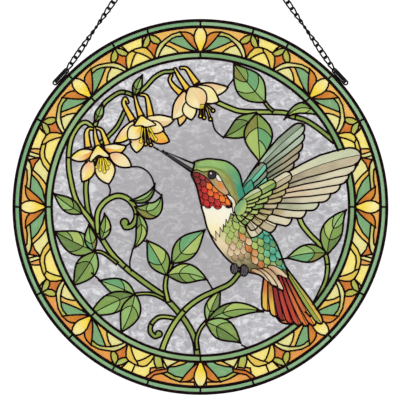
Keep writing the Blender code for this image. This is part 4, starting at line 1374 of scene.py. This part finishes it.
def streaked_glass(name, streak, ripple, transmission):
    """Rolled art glass: its two tints run into each other, with wisps and fine ripples along its grain."""
    finish = Finish(name, roughness=0.16, ior=1.5, transmission_weight=transmission, specular_ior_level=0.16,
                    coat_weight=0.05, coat_roughness=0.06)
    grain = finish.attribute("grain", 1)
    share = finish.attribute("share", 2)
    cloud = finish.noise(grain, (60, 40, 7), 3.0)
    wisp = finish.noise(grain, (420, 60, 7), 4.0, 0.6)
    colour = finish.mix(finish.ramp(share + (cloud - 0.5) * 0.9, 0.08, 0.92),
                        finish.attribute("near_tint", 0), finish.attribute("far_tint", 0))
    colour = finish.mix(finish.ramp(wisp, 0.52, 0.74) * streak, colour, (0.86, 0.84, 0.74, 1.0), "SCREEN")
    colour = finish.mix(finish.ramp(wisp, 0.46, 0.26) * streak, colour, (0.55, 0.50, 0.45, 1.0), "MULTIPLY")
    waves = finish.noise(grain, (260, 120, 7))
    fine = finish.noise(grain, (1400, 900, 7))
    finish.set(base_color=colour, normal=finish.bump(waves + fine * 0.12, ripple, 0.0006),
               roughness=0.10 + wisp * 0.14)
    return finish.material


def hammered_glass(name):
    """Clear smoky glass with a crinkled face, paler towards the rim. Painted highlights on the crests of its
    crinkles and painted shade in their hollows grow stronger towards the rim.
    """
    finish = Finish(name, roughness=0.2, ior=1.5, transmission_weight=0.62, specular_ior_level=0.35,
                    coat_weight=0.1, coat_roughness=0.05)
    place = finish.place()
    centre = tuple(PANEL_CENTRE)
    out = finish.node("ShaderNodeVectorMath", {"operation": "DISTANCE"}, {0: place, 1: centre}, 1)
    rimwards = finish.ramp(out, INNER_RING * 0.35, INNER_RING)
    bend = finish.noise(place, (55, 0, 70), output=1)
    crinkled = finish.node("ShaderNodeVectorMath", {"operation": "ADD"},
                           {0: finish.scaled(place, (85, 0, 135)), 1: finish.scaled(bend, (4, 4, 4))})
    ridge = finish.noise(crinkled, None, 2.5, 0.55)
    fine = finish.noise(place, (420, 0, 420), 3.0, 0.6)
    folds = ridge * 0.8 + fine * 0.2
    # Painted highlight on the crests of the crinkles and painted shade in their hollows, both stronger
    # towards the rim
    bright = finish.ramp(folds, 0.49, 0.64) * (rimwards * 0.6 + 0.25)
    dark = finish.ramp(folds, 0.51, 0.36) * (rimwards * 0.4 + 0.15)
    colour = finish.mix(rimwards, finish.attribute("far_tint", 0), finish.attribute("near_tint", 0))
    # The painted highlight and the painted shade are mixed into the glass's colour
    colour = finish.mix(bright, colour, (0.90, 0.90, 0.92, 1.0))
    colour = finish.mix(dark, colour, (0.30, 0.29, 0.31, 1.0))
    finish.set(base_color=colour, normal=finish.bump(folds, 0.8, 0.0015), roughness=0.12 + fine * 0.2)
    return finish.material


def patina_lead(name, dark, light, bright):
    """Soldered lead with a dark patina, lighter on the high places of its bump: partly rubbed wear and partly
    a painted highlight.
    """
    finish = Finish(name, roughness=0.5, specular_ior_level=0.02)
    place = finish.place()
    grime = finish.noise(place, (140, 140, 140), 4.0, 0.6)
    ripple = finish.noise(place, (420, 420, 420), 3.0)
    # Lighter on the high places of the bump: partly rubbed wear, partly a painted highlight
    rubbed_and_sheen = finish.ramp(grime + ripple * 0.5, 0.74, 1.05)
    colour = finish.mix(finish.ramp(grime, 0.35, 0.65), (*dark, 1.0), (*light, 1.0))
    colour = finish.mix(rubbed_and_sheen * 0.35, colour, (*bright, 1.0))
    finish.set(base_color=colour, roughness=0.30 + grime * 0.32,
               normal=finish.bump(ripple + grime, 0.35, 0.0006))
    return finish.material


SLOTS = {
    "outer_band": "green_band_glass", "inner_band": "green_band_glass", "border_field": "amber_glass",
    "border_teardrop": "yellow_glass", "background": "clear_grey_glass",
}
BIRD_PARTS = ("body", "breast", "throat", "beak", "near_wing", "far_wing", "tail")
SLOTS |= {f"bird_{part}": f"{part}_glass" for part in BIRD_PARTS}


def dress_panel():
    """Makes every visible piece."""
    draw_panel()
    places, panes, lines = panes_and_lines()
    by_group = {}
    for number, pane in enumerate(panes):
        by_group.setdefault(drawing[pane[0]].group, []).append((number, pane))
    clear = hammered_glass("hammered_clear_glass")
    for group, members in by_group.items():
        slot = SLOTS.get(group, "vine_glass" if "vine" in group else "flower_glass")
        streak = 0.06 if group in ("bird_throat", "bird_tail", "bird_beak") else 0.18
        finish = clear if group == "background" else streaked_glass(f"{group}_art_glass", streak, 0.35, 0.5)
        glass_piece(group, members, places, finish, slot)
    # The last colour of each metal is for its high places, partly rubbed wear and partly a painted highlight
    lead = patina_lead("dark_lead", (0.005, 0.001, 0.0015), (0.010, 0.003, 0.004), (0.03, 0.016, 0.016))
    black = patina_lead("black_steel", (0.004, 0.004, 0.004), (0.010, 0.011, 0.010), (0.05, 0.05, 0.048))
    claw = patina_lead("grey_claw_metal", (0.075, 0.070, 0.075), (0.12, 0.115, 0.12), (0.26, 0.25, 0.25))
    lead_pieces(lines, lead)
    rim_piece(lead)
    feet_piece(claw)
    for side, word in ((-1, "left"), (1, "right")):
        loop_piece(f"loop_{word}", side, black)
        chain_piece(f"chain_{word}", side, black)
    top_ring_piece(black)


# Stage, lights and camera

CAMERA_DISTANCE = 6.0
PHOTO_PIXELS = 400
CENTRE_PIXEL = (200.4, 206.9)
RADIUS_PIXELS = 188.0
SENSOR = 36.0
WORLD_LIGHT = 1.12


def stage_and_lights():
    bpy.ops.mesh.primitive_grid_add(x_subdivisions=8, y_subdivisions=8, size=6.0, location=(0.0, 0.0, -1.25))
    floor = bpy.context.object
    floor.name = "studio_floor"
    pale = Finish("pale_floor", roughness=0.8)
    cloud = pale.noise(pale.place(), (3, 3, 3))
    pale.set(base_color=pale.mix(cloud, (0.82, 0.82, 0.82, 1.0), (0.88, 0.88, 0.88, 1.0)))
    floor.data.materials.append(pale.material)
    world = bpy.data.worlds.new("studio")
    bpy.context.scene.world = world
    bpy.context.scene.view_settings.view_transform = "Standard"
    world.use_nodes = True
    tree = world.node_tree
    backdrop = tree.nodes["Background"]
    backdrop.inputs["Color"].default_value = (1.0, 1.0, 1.0, 1.0)
    backdrop.inputs["Strength"].default_value = WORLD_LIGHT
    for name, place, energy, breadth in (
        ("key", (-1.6, -2.6, 1.2), 9.0, 1.6),
        ("fill", (1.9, -2.4, 0.2), 3.0, 2.0),
        ("back", (0.6, 2.4, 1.0), 6.0, 1.8),
    ):
        lamp = bpy.data.lights.new(name, "AREA")
        lamp.energy = energy
        lamp.size = breadth
        obj = bpy.data.objects.new(name, lamp)
        obj.location = place
        obj.rotation_euler = (PANEL_CENTRE - Vector(place)).to_track_quat("-Z", "Y").to_euler()
        bpy.context.scene.collection.objects.link(obj)


def camera():
    scale = PANEL_RADIUS / RADIUS_PIXELS
    half = PHOTO_PIXELS / 2
    data = bpy.data.cameras.new("camera")
    data.sensor_width = SENSOR
    data.lens = SENSOR * CAMERA_DISTANCE / (PHOTO_PIXELS * scale)
    obj = bpy.data.objects.new("camera", data)
    obj.location = (PANEL_CENTRE.x + (half - CENTRE_PIXEL[0]) * scale, -CAMERA_DISTANCE,
                    PANEL_CENTRE.z - (half - CENTRE_PIXEL[1]) * scale)
    obj.rotation_euler = (math.pi / 2, 0.0, 0.0)
    bpy.context.scene.collection.objects.link(obj)
    bpy.context.scene.camera = obj


camera()
dress_panel()
stage_and_lights()
